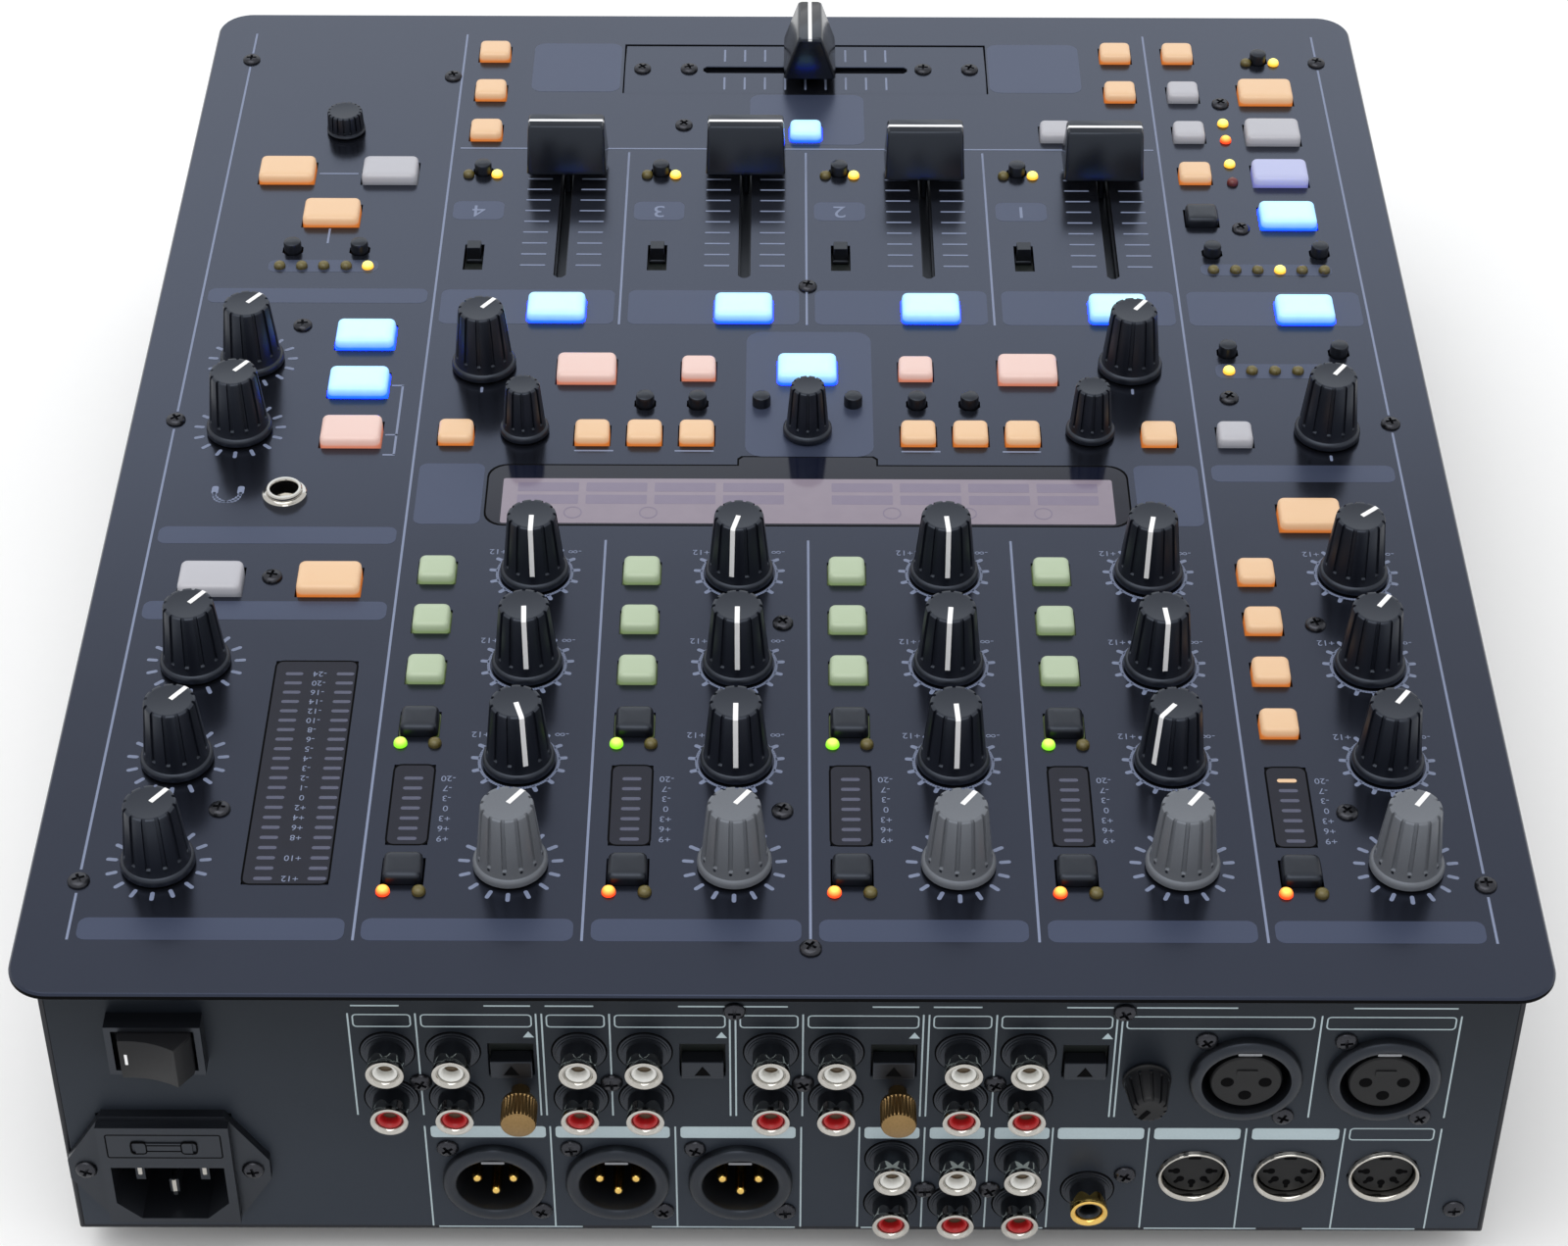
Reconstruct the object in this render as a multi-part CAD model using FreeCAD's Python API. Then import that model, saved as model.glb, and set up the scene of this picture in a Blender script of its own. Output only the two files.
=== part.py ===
import FreeCAD, Part
import math
import os

# Four-channel mixing console. Millimetres, +Z up, rear sockets towards +Y.
# Modelled about the centre of the top panel with z = 0 on the panel's upper face,
# then moved so that the origin lies under the middle of the whole console.

os.makedirs("parts", exist_ok=True)
Vector = FreeCAD.Vector

# Columns of the panel, from the left edge to the right edge
SIDE_MARGIN = 11.0
COLUMN_PITCH = 47.7
COLUMNS = 5
MAIN_COLUMN = 59.5
KNOB_INSET = 16.1
BUTTON_INSET = 38.8
MAIN_BUTTON_INSET = 15.9
MAIN_KNOB_INSET = 43.4

# Rows of the panel, from the rear edge to the front edge
REAR_MARGIN = 38.5
ROW_PITCH = 32.25
DISPLAY_DROP = 29.3
FX_DROP = 23.1
CUE_DROP = 52.0
PAD_DROP = 42.3
PAD_PITCH = 20.05
PAD_ROWS = 5
FRONT_MARGIN = 21.35
PRESET_PITCH = 17.5

# Sheet metal of the casing
PANEL_THICK = 1.5
PANEL_CORNER = 9.0
PANEL_EDGE = 0.5
OVERHANG = 5.5
BODY_HEIGHT = 80.0
SHEET = 1.2
TRAY_LIP = 10.0
FOOT_HEIGHT = 9.0
FOOT_RADIUS = 10.0
FOOT_TAPER = 1.5
FOOT_INSET = 28.0

# Clearances
RUN_GAP = 0.35
FLOAT_GAP = 0.4
SEAT_GAP = 0.3
FIT_GAP = 0.3

# Rotary controls: skirt radius, radius above the skirt, top radius, skirt height, height
KNOB = (8.0, 7.2, 5.65, 2.2, 17.7)
ENCODER = (6.0, 5.2, 4.15, 2.0, 14.3)
TRIM = (5.2, 5.0, 4.7, 1.2, 6.5)
REAR_TRIM = (5.2, 5.0, 3.6, 1.2, 9.0)
KNOB_FLUTES = 12
SHAFT_SIDE = 4.2
POT_SIZE = 11.0
POT_HEIGHT = 8.0
POT_DROP = 1.0

# Push buttons
WIDE_W, WIDE_D, WIDE_H = 14.6, 10.0, 2.8
SQUARE_W, SQUARE_D, SQUARE_H = 8.4, 7.6, 2.6
ROUND_R, ROUND_H = 2.3, 3.0
BUTTON_CORNER = 1.1
BUTTON_DRAFT = 0.3
BUTTON_REACH = 1.0

# Faders
FADER_TRAVEL = 45.0
FADER_DROP = 43.1
FADER_RAISED = (3.6, 3.4, 1.2, 1.3)
CAP_BASE_L, CAP_BASE_W = 21.2, 14.3
CAP_TOP_L, CAP_TOP_W = 17.8, 6.5
CAP_LOW, CAP_HIGH = 3.0, 15.8
CAP_CORNER = 0.8
LEVER_L, LEVER_W = 5.0, 1.6
LEVER_DIP = 3.0
SLOT_W = 3.2
SLOT_SPARE = 3.4
TRACK_W = 9.0
TRACK_SPARE = 9.0
PLATE_W, PLATE_D = 100.6, 24.8
PLATE_SINK = 0.3
CROSS_SHIFT = -1.2

# Windows
DISPLAY_W, DISPLAY_D = 153.4, 22.7
DISPLAY_CORNER = 4.0
NOTCH_W, NOTCH_D = 33.2, 3.4
METER_W, METER_D = 8.5, 24.7
MAIN_METER_W, MAIN_METER_D = 18.0, 71.2
WINDOW_SINK = 0.2
WINDOW_FLANGE = 1.5
WINDOW_SEAT = 1.0

# Slide switches
CURVE_W, CURVE_D = 5.0, 11.4
CURVE_STUB_D = 4.2
CURVE_STUB_H = 2.0
CURVE_TRAVEL = 6.0
PHONO_W, PHONO_H = 9.6, 9.8
PHONO_STUB_H = 5.0
PHONO_TRAVEL = 4.0
PHONO_PROUD = 1.2

# Headphone socket
JACK_BORE = 3.2
JACK_BUSH = 4.3
JACK_NUT = 5.3
JACK_NUT_H = 1.2
JACK_PROUD = 2.6
JACK_DEPTH = 32.0
JACK_BODY = 13.0

# Rear sockets
XLR_FLANGE, XLR_BODY, XLR_PROUD = 11.3, 9.9, 2.5
XLR_BORE, XLR_CUP = 8.15, 11.0
XLR_PIN, XLR_PIN_CIRCLE, XLR_PIN_LENGTH = 1.2, 4.0, 8.5
XLR_GROOVE, XLR_INSERT, XLR_INSERT_SINK = 9.4, 7.6, 0.7
SOCKET_DEPTH = 18.0
SOCKET_SIDES = 10
RCA_COLLAR, RCA_COLLAR_H = 5.3, 1.2
RCA_SHELL, RCA_LENGTH = 4.15, 7.2
RCA_BORE, RCA_BORE_DEPTH = 1.75, 5.5
RCA_PITCH = 14.5
DIN_SHELL, DIN_WALL, DIN_PROUD, DIN_SINK = 7.75, 0.75, 1.0, 2.0
POST_STUD, POST_NUT, POST_LENGTH, POST_NUT_L = 2.0, 3.75, 13.0, 6.0
POST_TEETH = 12
POST_TOOTH = 0.4

# Places on the rear: from the middle line towards the mains side or the microphone side
INPUT_MIDDLE, INPUT_PITCH = 22.45, 40.3
PHONO_STEP, PHONO_SWITCH_STEP, POST_STEP = 13.8, 25.9, 27.2
LEVEL_STEP, XLR_IN_STEP, XLR_IN_PITCH = 39.2, 20.8, 29.2
XLR_OUT_REACH, XLR_PITCH = 62.2, 26.65
DIN_REACH, DIN_PITCH = 89.4, 20.65
OUT_REACH, OUT_PITCH = 23.8, 14.0
DIGITAL_REACH = 66.6
SWITCH_STEP = 1.4

# Heights on the rear: the upper row hangs from the panel, the lower row stands on the floor of the tray
LINE_DROP, XLR_IN_DROP, LEVEL_DROP = 22.5, 29.5, 30.4
POST_DROP, PHONO_DROP, SWITCH_DROP = 32.3, 25.1, 18.1
OUT_RISE, XLR_OUT_RISE, DIN_RISE = 23.9, 16.8, 18.7
DIGITAL_RISE, INLET_RISE = 14.1, 22.0

# Mains inlet and switch
INLET_W, INLET_H, INLET_PROUD = 28.4, 30.8, 4.0
INLET_EAR_W, INLET_EAR_H = 43.4, 6.0
INLET_PLATE = 2.0
INLET_TOP_W = 26.5
INLET_RIM = 1.5
INLET_MOUTH_W, INLET_MOUTH_H, INLET_MOUTH_CUT = 24.4, 16.6, 5.0
INLET_CUP = 15.0
INLET_DEPTH = 26.0
INLET_EDGE = 22.4
DRAWER_H = 9.2
BLADE_W, BLADE_H, BLADE_LENGTH, BLADE_STEP = 2.0, 4.0, 11.0, 7.0
SWITCH_W, SWITCH_H, SWITCH_PROUD = 20.1, 14.2, 4.4
SWITCH_RIM = 1.2
SWITCH_DEPTH = 14.0
SWITCH_FLOOR = 0.2
ROCKER_SWEEP = 8.3
ROCKER_TIP, ROCKER_HEEL = 20.0, 14.0
ROCKER_DISH = 0.8
ROCKER_TILT = 13.0

# Boards and fasteners
BOARD_THICK = 1.6
BOARD_MARGIN_X = 18.0
BOARD_MARGIN_REAR = 30.0
BOARD_MARGIN_FRONT = 16.0
SPACER = 5.0
SUPPLY_W, SUPPLY_D = 92.0, 84.0
SUPPLY_LIFT = 6.0
SUPPLY_EDGE = 12.0
SUPPLY_REAR = 40.0
FINS = 6
FIN_PITCH = 5.0
FIN_THICK = 1.6
FIN_HEIGHT = 26.0

# Derived places on the panel
panel_w = 2 * SIDE_MARGIN + COLUMNS * COLUMN_PITCH + MAIN_COLUMN
left_line = -panel_w / 2 + SIDE_MARGIN
lines = [left_line + k * COLUMN_PITCH for k in range(COLUMNS + 1)]
right_line = lines[-1] + MAIN_COLUMN
knob_x = [line + KNOB_INSET for line in lines[:COLUMNS]]
button_x = [line + BUTTON_INSET for line in lines[:COLUMNS]]
console_x = lines[3]
main_line = lines[-1]
main_button_x = main_line + MAIN_BUTTON_INSET
main_knob_x = main_line + MAIN_KNOB_INSET
main_mid_x = (main_button_x + main_knob_x) / 2

panel_d = (REAR_MARGIN + 3 * ROW_PITCH + DISPLAY_DROP + FX_DROP + CUE_DROP + PAD_DROP
           + (PAD_ROWS - 1) * PAD_PITCH + FRONT_MARGIN)
rear_edge = panel_d / 2
gain_y = rear_edge - REAR_MARGIN
knob_rows = [gain_y - k * ROW_PITCH for k in range(4)]
low_y = knob_rows[-1]
preset_rows = [low_y + k * PRESET_PITCH for k in range(4)]
display_y = low_y - DISPLAY_DROP
fx_y = display_y - FX_DROP
beat_y = fx_y - 13.0
fx_on_y = fx_y - 26.0
cue_y = fx_y - CUE_DROP
fader_y = cue_y - FADER_DROP
pad_rows = [cue_y - PAD_DROP - k * PAD_PITCH for k in range(PAD_ROWS)]
cross_y = (pad_rows[3] + pad_rows[4]) / 2 - 3.0
select_y = gain_y + 2.25
meter_y = preset_rows[3] + 25.8
main_meter_y = knob_rows[1] + 2.7
user_y = low_y + 3.6
jack_y = display_y + 0.8
fx_mix_y = fx_y - 28.3
curve_y = fader_y + 19.4
assign_y = fader_y - 20.6

# Derived room for a turning shaft: half of its diagonal and the hole round that circle
shaft_reach = SHAFT_SIDE / math.sqrt(2)
shaft_hole = (shaft_reach + RUN_GAP) / math.cos(math.pi / 6)

# Derived heights and sides of the casing
underside = -PANEL_THICK
floor_z = -BODY_HEIGHT
chassis_w = panel_w - 2 * OVERHANG
chassis_half = chassis_w / 2
rear_y = rear_edge - OVERHANG
front_y = -rear_y
pot_top = underside - POT_DROP
board_top = pot_top - POT_HEIGHT
board_low = board_top - BOARD_THICK

# Derived places on the rear, from the middle towards each side
line_x = [INPUT_MIDDLE + (1.5 - k) * INPUT_PITCH for k in range(4)]
upper_z, second_z = -LINE_DROP, -LINE_DROP - RCA_PITCH
third_z, fourth_z = floor_z + OUT_RISE, floor_z + OUT_RISE - RCA_PITCH
xlr_out_x = [XLR_OUT_REACH - k * XLR_PITCH for k in range(3)]
xlr_out_z = floor_z + XLR_OUT_RISE
level_x, level_z = line_x[-1] - LEVEL_STEP, -LEVEL_DROP
xlr_in_x = [level_x - XLR_IN_STEP - k * XLR_IN_PITCH for k in range(2)]
xlr_in_z = -XLR_IN_DROP
din_x = [-DIN_REACH - k * DIN_PITCH for k in range(3)]
din_z = floor_z + DIN_RISE
out_x = [-OUT_REACH - k * OUT_PITCH for k in range(3)]
digital_x, digital_z = -DIGITAL_REACH, floor_z + DIGITAL_RISE
post_x = [line_x[0] - POST_STEP, line_x[2] - POST_STEP]
post_z = -POST_DROP
phono_z = -PHONO_DROP
inlet_x = chassis_half - INLET_EDGE
inlet_z = floor_z + INLET_RISE
mouth_z = inlet_z - INLET_H / 2 + INLET_RIM + INLET_MOUTH_H / 2
drawer_z = inlet_z + INLET_H / 2 - INLET_RIM - DRAWER_H / 2
switch_x = inlet_x - SWITCH_STEP
switch_z = -SWITCH_DROP

# Whole console: origin under the middle of its outer box
rear_reach = rear_y + max(POST_LENGTH, RCA_LENGTH, REAR_TRIM[4])
shift = Vector(0, (rear_edge - rear_reach) / 2, BODY_HEIGHT + FOOT_HEIGHT)


# Shape helpers
def ring(x, y, radius, z, sides):
    step = 2 * math.pi / sides
    turns = [step * (k + 0.5) for k in range(sides)]
    return [Vector(x + radius * math.sin(a), y + radius * math.cos(a), z) for a in turns]


def clipped(x, y, w, d, corner, z):
    a, b = w / 2, d / 2
    c = corner
    upper = [(a, b - c), (a - c, b), (c - a, b), (-a, b - c)]
    lower = [(-u, -v) for u, v in upper]
    return [Vector(x + u, y + v, z) for u, v in upper + lower]


def rectangle(x, y, w, d, z=0.0):
    a, b = w / 2, d / 2
    return [Vector(x + u, y + v, z) for u, v in ((-a, -b), (a, -b), (a, b), (-a, b))]


def closed(points):
    return Part.makePolygon(list(points) + [points[0]])


def stack(rings):
    faces = [Part.Face(closed(rings[0])), Part.Face(closed(rings[-1]))]
    for low, high in zip(rings, rings[1:]):
        for k in range(len(low)):
            n = (k + 1) % len(low)
            faces.append(Part.Face(closed([low[k], low[n], high[n], high[k]])))
    shell = Part.Shell(faces)
    shell.sewShape()
    solid = Part.Solid(shell)
    if solid.Volume < 0:
        solid.reverse()
    return solid


def turned(profile, sides, x=0.0, y=0.0):
    return stack([ring(x, y, radius, z, sides) for radius, z in profile])


def block(x, y, w, d, low, high):
    return Part.makeBox(w, d, high - low, Vector(x - w / 2, y - d / 2, low))


def sheet(outline, holes, low, thick):
    face = Part.makeFace([outline] + holes, "Part::FaceMakerBullseye")
    face.translate(Vector(0, 0, low))
    return face.extrude(Vector(0, 0, thick))


def rounded(x, y, w, d, radius):
    a, b, r = w / 2, d / 2, radius
    k = r * (1 - math.sqrt(0.5))
    edges = []
    for sx, sy in ((1, 1), (-1, 1), (-1, -1), (1, -1)):
        ends = [Vector(x + sx * a, y + sy * (b - r)), Vector(x + sx * (a - r), y + sy * b)]
        middle = Vector(x + sx * (a - k), y + sy * (b - k))
        if sx * sy < 0:
            ends.reverse()
        edges.append(Part.Arc(ends[0], middle, ends[1]).toShape())
    sides = []
    for here, after in zip(edges, edges[1:] + edges[:1]):
        sides.append(Part.LineSegment(here.Vertexes[-1].Point, after.Vertexes[0].Point).toShape())
    ordered = [edge for pair in zip(edges, sides) for edge in pair]
    return Part.Wire(ordered)


def on_rear(shape, x, z):
    # Local right, up and outward, as seen by someone standing behind the console
    turn = FreeCAD.Matrix(-1, 0, 0, x, 0, 0, 1, rear_y, 0, 1, 0, z, 0, 0, 0, 1)
    placed = shape.copy()
    placed.Placement = FreeCAD.Placement(turn).multiply(placed.Placement)
    return placed


def save(name, solids):
    shape = Part.makeCompound(solids) if len(solids) > 1 else solids[0].copy()
    shape.translate(shift)
    shape.exportStep("parts/" + name + ".step")


# Layout of the rotary controls: place and form of each
panel_knobs = {}
for channel, x in zip(("mic", "ch1", "ch2", "ch3", "ch4"), knob_x):
    for band, y in zip(("gain", "high", "mid", "low"), knob_rows):
        panel_knobs[channel + "_" + band + "_knob"] = (x, y, KNOB)
for band, y in zip(("level", "balance", "booth"), knob_rows):
    panel_knobs["main_" + band + "_knob"] = (main_knob_x, y, KNOB)
panel_knobs["phones_level_knob"] = (main_knob_x, fx_y - 1.9, KNOB)
panel_knobs["phones_mix_knob"] = (main_knob_x, fx_y - 30.1, KNOB)
panel_knobs["sampler_mix_knob"] = (knob_x[0], fx_y - 1.8, KNOB)
for name, side in (("fx1", -1), ("fx2", 1)):
    panel_knobs[name + "_mix_knob"] = (console_x + side * 80.7, fx_mix_y, KNOB)
    panel_knobs[name + "_encoder"] = (console_x + side * 69.1, fx_y - 1.7, ENCODER)
panel_knobs["console_encoder"] = (console_x, fx_y - 1.7, ENCODER)
panel_knobs["crossfader_curve_knob"] = (main_mid_x, pad_rows[2] - 0.8, TRIM)

# Layout of the push buttons
wide_places = [(x, cue_y) for x in knob_x]
wide_places += [(knob_x[0], y) for y in pad_rows[:4]]
wide_places += [(knob_x[0] + 7.9, low_y - 21.1), (main_button_x, user_y), (main_knob_x, user_y)]
wide_places += [(main_button_x, fx_y - k * PAD_PITCH) for k in range(3)]
wide_places += [(console_x + side * 55.0, fx_on_y) for side in (-1, 0, 1)]
wide_places += [(main_mid_x, pad_rows[0]), (main_button_x, pad_rows[1]), (main_knob_x, pad_rows[1])]

square_places = [(x, select_y) for x in button_x]
square_places += [(x, y) for x in button_x for y in preset_rows]
square_places += [(button_x[0], fx_y)] + [(button_x[0], y) for y in pad_rows]
for side in (-1, 1):
    square_places += [(console_x + side * away, fx_y) for away in (27.05, 39.8, 52.55, 85.8)]
    square_places += [(console_x + side * 27.05, fx_on_y - 0.3), (console_x + side * 68.0, pad_rows[2])]
    square_places += [(console_x + side * 86.9, y) for y in pad_rows[2:]]
square_places.append((console_x, pad_rows[2]))

round_places = [(x, assign_y) for x in button_x[1:]]
round_places += [(console_x + side * away, beat_y) for side in (-1, 1) for away in (27.05, 40.0, 11.3)]
round_places += [(knob_x[0] - 6.7, beat_y - 21.8), (button_x[0] - 1.4, beat_y - 21.8)]
round_places += [(knob_x[0] - 6.7, cue_y - 26.4), (button_x[0] - 1.4, cue_y - 26.4)]
round_places += [(main_mid_x + side * 8.7, cue_y - 26.6) for side in (-1, 1)]
round_places.append((knob_x[0] + 0.3, pad_rows[4] + 2.2))

# Layout of the faders, slide switches and windows
fader_rest = [(x, fader_y - FADER_TRAVEL / 2 + raised) for x, raised in zip(knob_x[1:], FADER_RAISED)]
slot_l = FADER_TRAVEL + LEVER_L + 2 * SLOT_SPARE
curve_rest_y = curve_y - CURVE_TRAVEL / 2
curve_window_y = curve_y
meter_places = [(x, meter_y) for x in button_x]
phono_x = [x - PHONO_SWITCH_STEP for x in line_x]
phono_rest_z = phono_z - PHONO_TRAVEL / 2

# Layout of the spacers that hold the board under the panel
spacers = [(x, meter_y + 1.9) for x in (lines[0] + 27.0, lines[3] + 6.0, main_line + 32.5)]
spacers += [(lines[0] + 27.0, preset_rows[1] + 0.6), (lines[3] + 6.0, preset_rows[1] + 0.6)]
spacers += [(console_x, gain_y + 24.5), (main_mid_x, user_y - 1.6), (button_x[0], fx_y - 16.0)]
spacers += [(console_x, cue_y - 10.9), (main_mid_x + 2.7, cue_y + 7.2), (knob_x[0] + 12.9, pad_rows[0] + 5.1)]
spacers += [(knob_x[0] + 12.9, pad_rows[3] + 5.0), (main_line + 2.7, pad_rows[4] + 12.0)]
spacers += [(console_x + 33.2, pad_rows[2] - 3.5)]


# Casing
def display_outline(grow):
    half, depth = DISPLAY_W / 2 + grow, DISPLAY_D / 2 + grow
    notch, drop = NOTCH_W / 2 + grow, depth + NOTCH_D
    c = DISPLAY_CORNER
    right = [(notch - c / 4, -drop), (notch, c / 4 - drop), (notch, -depth), (half - c, -depth),
             (half, c - depth), (half, depth - c), (half - c, depth)]
    left = [(-u, v) for u, v in reversed(right)]
    return [Vector(console_x + u, display_y + v) for u, v in right + left]


def window_openings(grow):
    outlines = [closed(display_outline(grow))]
    more = 2 * grow
    outlines += [closed(rectangle(x, y, METER_W + more, METER_D + more)) for x, y in meter_places]
    outlines.append(closed(rectangle(main_button_x, main_meter_y, MAIN_METER_W + more, MAIN_METER_D + more)))
    return outlines


def top_panel():
    holes = window_openings(FIT_GAP)
    for x, y, form in panel_knobs.values():
        holes.append(closed(ring(x, y, shaft_hole, 0, 6)))
    for places, w, d in ((wide_places, WIDE_W, WIDE_D), (square_places, SQUARE_W, SQUARE_D)):
        holes += [closed(rectangle(x, y, w + 2 * RUN_GAP, d + 2 * RUN_GAP)) for x, y in places]
    for x, y in round_places:
        holes.append(closed(ring(x, y, (ROUND_R + RUN_GAP) / math.cos(math.pi / 8), 0, 8)))
    holes += [closed(clipped(x, fader_y, SLOT_W, slot_l, SLOT_W / 3, 0)) for x in knob_x[1:]]
    holes += [closed(rectangle(x, curve_window_y, CURVE_W, CURVE_D)) for x in button_x[1:]]
    holes.append(closed(rectangle(console_x, cross_y, PLATE_W + 2 * FIT_GAP, PLATE_D + 2 * FIT_GAP)))
    jack_hole = Part.Circle(Vector(main_mid_x, jack_y), Vector(0, 0, 1), JACK_BUSH + FIT_GAP)
    holes.append(Part.Wire(jack_hole.toShape()))
    panel = sheet(rounded(0, 0, panel_w, panel_d, PANEL_CORNER), holes, underside, PANEL_THICK)
    rim = []
    for edge in panel.Edges:
        box = edge.BoundBox
        outer = max(abs(box.Center.x) - panel_w / 2, abs(box.Center.y) - panel_d / 2) > -PANEL_CORNER / 2
        if outer and box.ZMin > -PANEL_THICK / 2:
            rim.append(edge)
    return panel.makeChamfer(PANEL_EDGE, rim)


def chassis_tray():
    top, low = underside, floor_z
    a, t, lip = chassis_half, SHEET, TRAY_LIP
    right = [(a, low), (a, top), (a - lip, top), (a - lip, top - t), (a - t, top - t), (a - t, low + t)]
    left = [(-u, v) for u, v in reversed(right)]
    section = closed([Vector(u, front_y, v) for u, v in right + left])
    tray = Part.Face(section).extrude(Vector(0, rear_y - front_y, 0))
    front = Part.makeBox(chassis_w - 2 * t, t, top - low - t, Vector(t - a, front_y, low + t))
    lips = Part.makeBox(chassis_w, t, t, Vector(-a, front_y, top - t))
    return tray.fuse([front, lips]).removeSplitter()


def rear_panel():
    low, high = floor_z + SHEET, underside - SHEET
    half = chassis_half - SHEET
    outline = closed([Vector(u, v) for u, v in ((-half, low), (half, low), (half, high), (-half, high))])
    holes = []
    for x, z in [(x, xlr_out_z) for x in xlr_out_x] + [(x, xlr_in_z) for x in xlr_in_x]:
        holes.append(closed(ring(-x, z, XLR_BODY + 2 * FIT_GAP, 0, SOCKET_SIDES)))
    holes += [closed(ring(-x, din_z, DIN_SHELL + FIT_GAP, 0, SOCKET_SIDES)) for x in din_x]
    holes += [closed(rectangle(-x, phono_z, PHONO_W, PHONO_H)) for x in phono_x]
    holes.append(closed(ring(-level_x, level_z, shaft_hole, 0, 6)))
    grow = 2 * FIT_GAP
    holes.append(closed(rectangle(-inlet_x, inlet_z, INLET_W + grow, INLET_H + grow)))
    switch_w, switch_h = SWITCH_W - 2 * SWITCH_RIM, SWITCH_H - 2 * SWITCH_RIM
    holes.append(closed(rectangle(-switch_x, switch_z, switch_w + grow, switch_h + grow)))
    return on_rear(sheet(outline, holes, -SHEET, SHEET), 0, 0)


def feet():
    solids = []
    for sx in (-1, 1):
        for sy in (-1, 1):
            x, y = sx * (chassis_half - FOOT_INSET), sy * (rear_y - FOOT_INSET)
            profile = [(FOOT_RADIUS - FOOT_TAPER, floor_z - FOOT_HEIGHT), (FOOT_RADIUS, floor_z)]
            solids.append(turned(profile, 12, x, y))
    return solids


# Rotary controls: a fluted, skirted cap on a square shaft that ends just above its potentiometer
def knob(x, y, form, wall):
    skirt, waist, top, skirt_h, height = form
    cap = turned([(skirt, FLOAT_GAP), (waist, skirt_h), (top, height)], KNOB_FLUTES, x, y)
    shaft = block(x, y, SHAFT_SIDE, SHAFT_SIDE, SEAT_GAP - POT_DROP - wall, FLOAT_GAP)
    return cap.fuse(shaft)


def rear_knob():
    return on_rear(knob(0, 0, REAR_TRIM, SHEET), level_x, level_z)


# Push buttons: drafted caps guided by the holes of the panel, the wide ones with clipped corners
def wide_button(x, y):
    foot = clipped(x, y, WIDE_W, WIDE_D, BUTTON_CORNER, underside - BUTTON_REACH)
    face = clipped(x, y, WIDE_W - 2 * BUTTON_DRAFT, WIDE_D - 2 * BUTTON_DRAFT, BUTTON_CORNER, WIDE_H)
    return stack([foot, face])


def square_button(x, y):
    foot = rectangle(x, y, SQUARE_W, SQUARE_D, underside - BUTTON_REACH)
    face = rectangle(x, y, SQUARE_W - 2 * BUTTON_DRAFT, SQUARE_D - 2 * BUTTON_DRAFT, SQUARE_H)
    return stack([foot, face])


def round_button(x, y):
    profile = [(ROUND_R, underside - BUTTON_REACH), (ROUND_R - BUTTON_DRAFT, ROUND_H)]
    return turned(profile, 8, x, y)


# Faders: a tapered cap on a lever that reaches into its track
def fader(x, y, along_x, track_top):
    sizes = ((CAP_BASE_L, CAP_BASE_W, CAP_LOW), (CAP_TOP_L, CAP_TOP_W, CAP_HIGH))
    if along_x:
        rings = [clipped(x, y, w, l, CAP_CORNER, z) for l, w, z in sizes]
        lever = block(x, y, LEVER_L, LEVER_W, track_top - LEVER_DIP, CAP_LOW)
    else:
        rings = [clipped(x, y, l, w, CAP_CORNER, z) for l, w, z in sizes]
        lever = block(x, y, LEVER_W, LEVER_L, track_top - LEVER_DIP, CAP_LOW)
    return stack(rings).fuse(lever)


def track(x, y, along_x, top):
    length, groove = slot_l + TRACK_SPARE, LEVER_W + 2 * RUN_GAP
    if along_x:
        body = block(x, y, length, TRACK_W, board_top, top)
        slot = block(x, y, slot_l, groove, top - LEVER_DIP - SEAT_GAP, top)
    else:
        body = block(x, y, TRACK_W, length, board_top, top)
        slot = block(x, y, groove, slot_l, top - LEVER_DIP - SEAT_GAP, top)
    return body.cut(slot)


def crossfader_plate():
    slot = closed(clipped(console_x, cross_y, slot_l, SLOT_W, SLOT_W / 3, 0))
    outline = closed(rectangle(console_x, cross_y, PLATE_W, PLATE_D))
    return sheet(outline, [slot], plate_low, PANEL_THICK)


# Windows with a flange that seats under the panel
def windows():
    solids = []
    for inner, outer in zip(window_openings(0), window_openings(WINDOW_FLANGE)):
        pane = sheet(inner, [], underside, PANEL_THICK - WINDOW_SINK)
        flange = sheet(outer, [], underside - WINDOW_SEAT, WINDOW_SEAT)
        solids.append(pane.fuse(flange).removeSplitter())
    return solids


# Slide switches
def curve_switch(x):
    w, top = CURVE_W - 2 * RUN_GAP, underside - SEAT_GAP
    carriage = block(x, curve_rest_y, w, CURVE_STUB_D, pot_top, top)
    stub = block(x, curve_rest_y, w - 2 * RUN_GAP, CURVE_STUB_D - 2 * RUN_GAP, top, CURVE_STUB_H)
    return carriage.fuse(stub).removeSplitter()


def phono_switch(x):
    w = PHONO_W - 2 * RUN_GAP
    return on_rear(block(0, 0, w, PHONO_STUB_H, -SHEET - POT_DROP, PHONO_PROUD), x, phono_rest_z)


# Headphone socket
def phones_jack():
    profile = [(JACK_BUSH, underside), (JACK_BUSH, 0), (JACK_NUT, 0), (JACK_NUT, JACK_NUT_H),
               (JACK_BUSH, JACK_NUT_H), (JACK_BUSH, JACK_PROUD)]
    bush = turned(profile, 12, main_mid_x, jack_y)
    body = block(main_mid_x, jack_y, JACK_BODY, JACK_BODY, underside - JACK_DEPTH, underside)
    bore = Part.makeCylinder(JACK_BORE, JACK_DEPTH, Vector(main_mid_x, jack_y, JACK_PROUD - JACK_DEPTH))
    return bush.fuse(body).cut(bore).removeSplitter()


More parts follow.
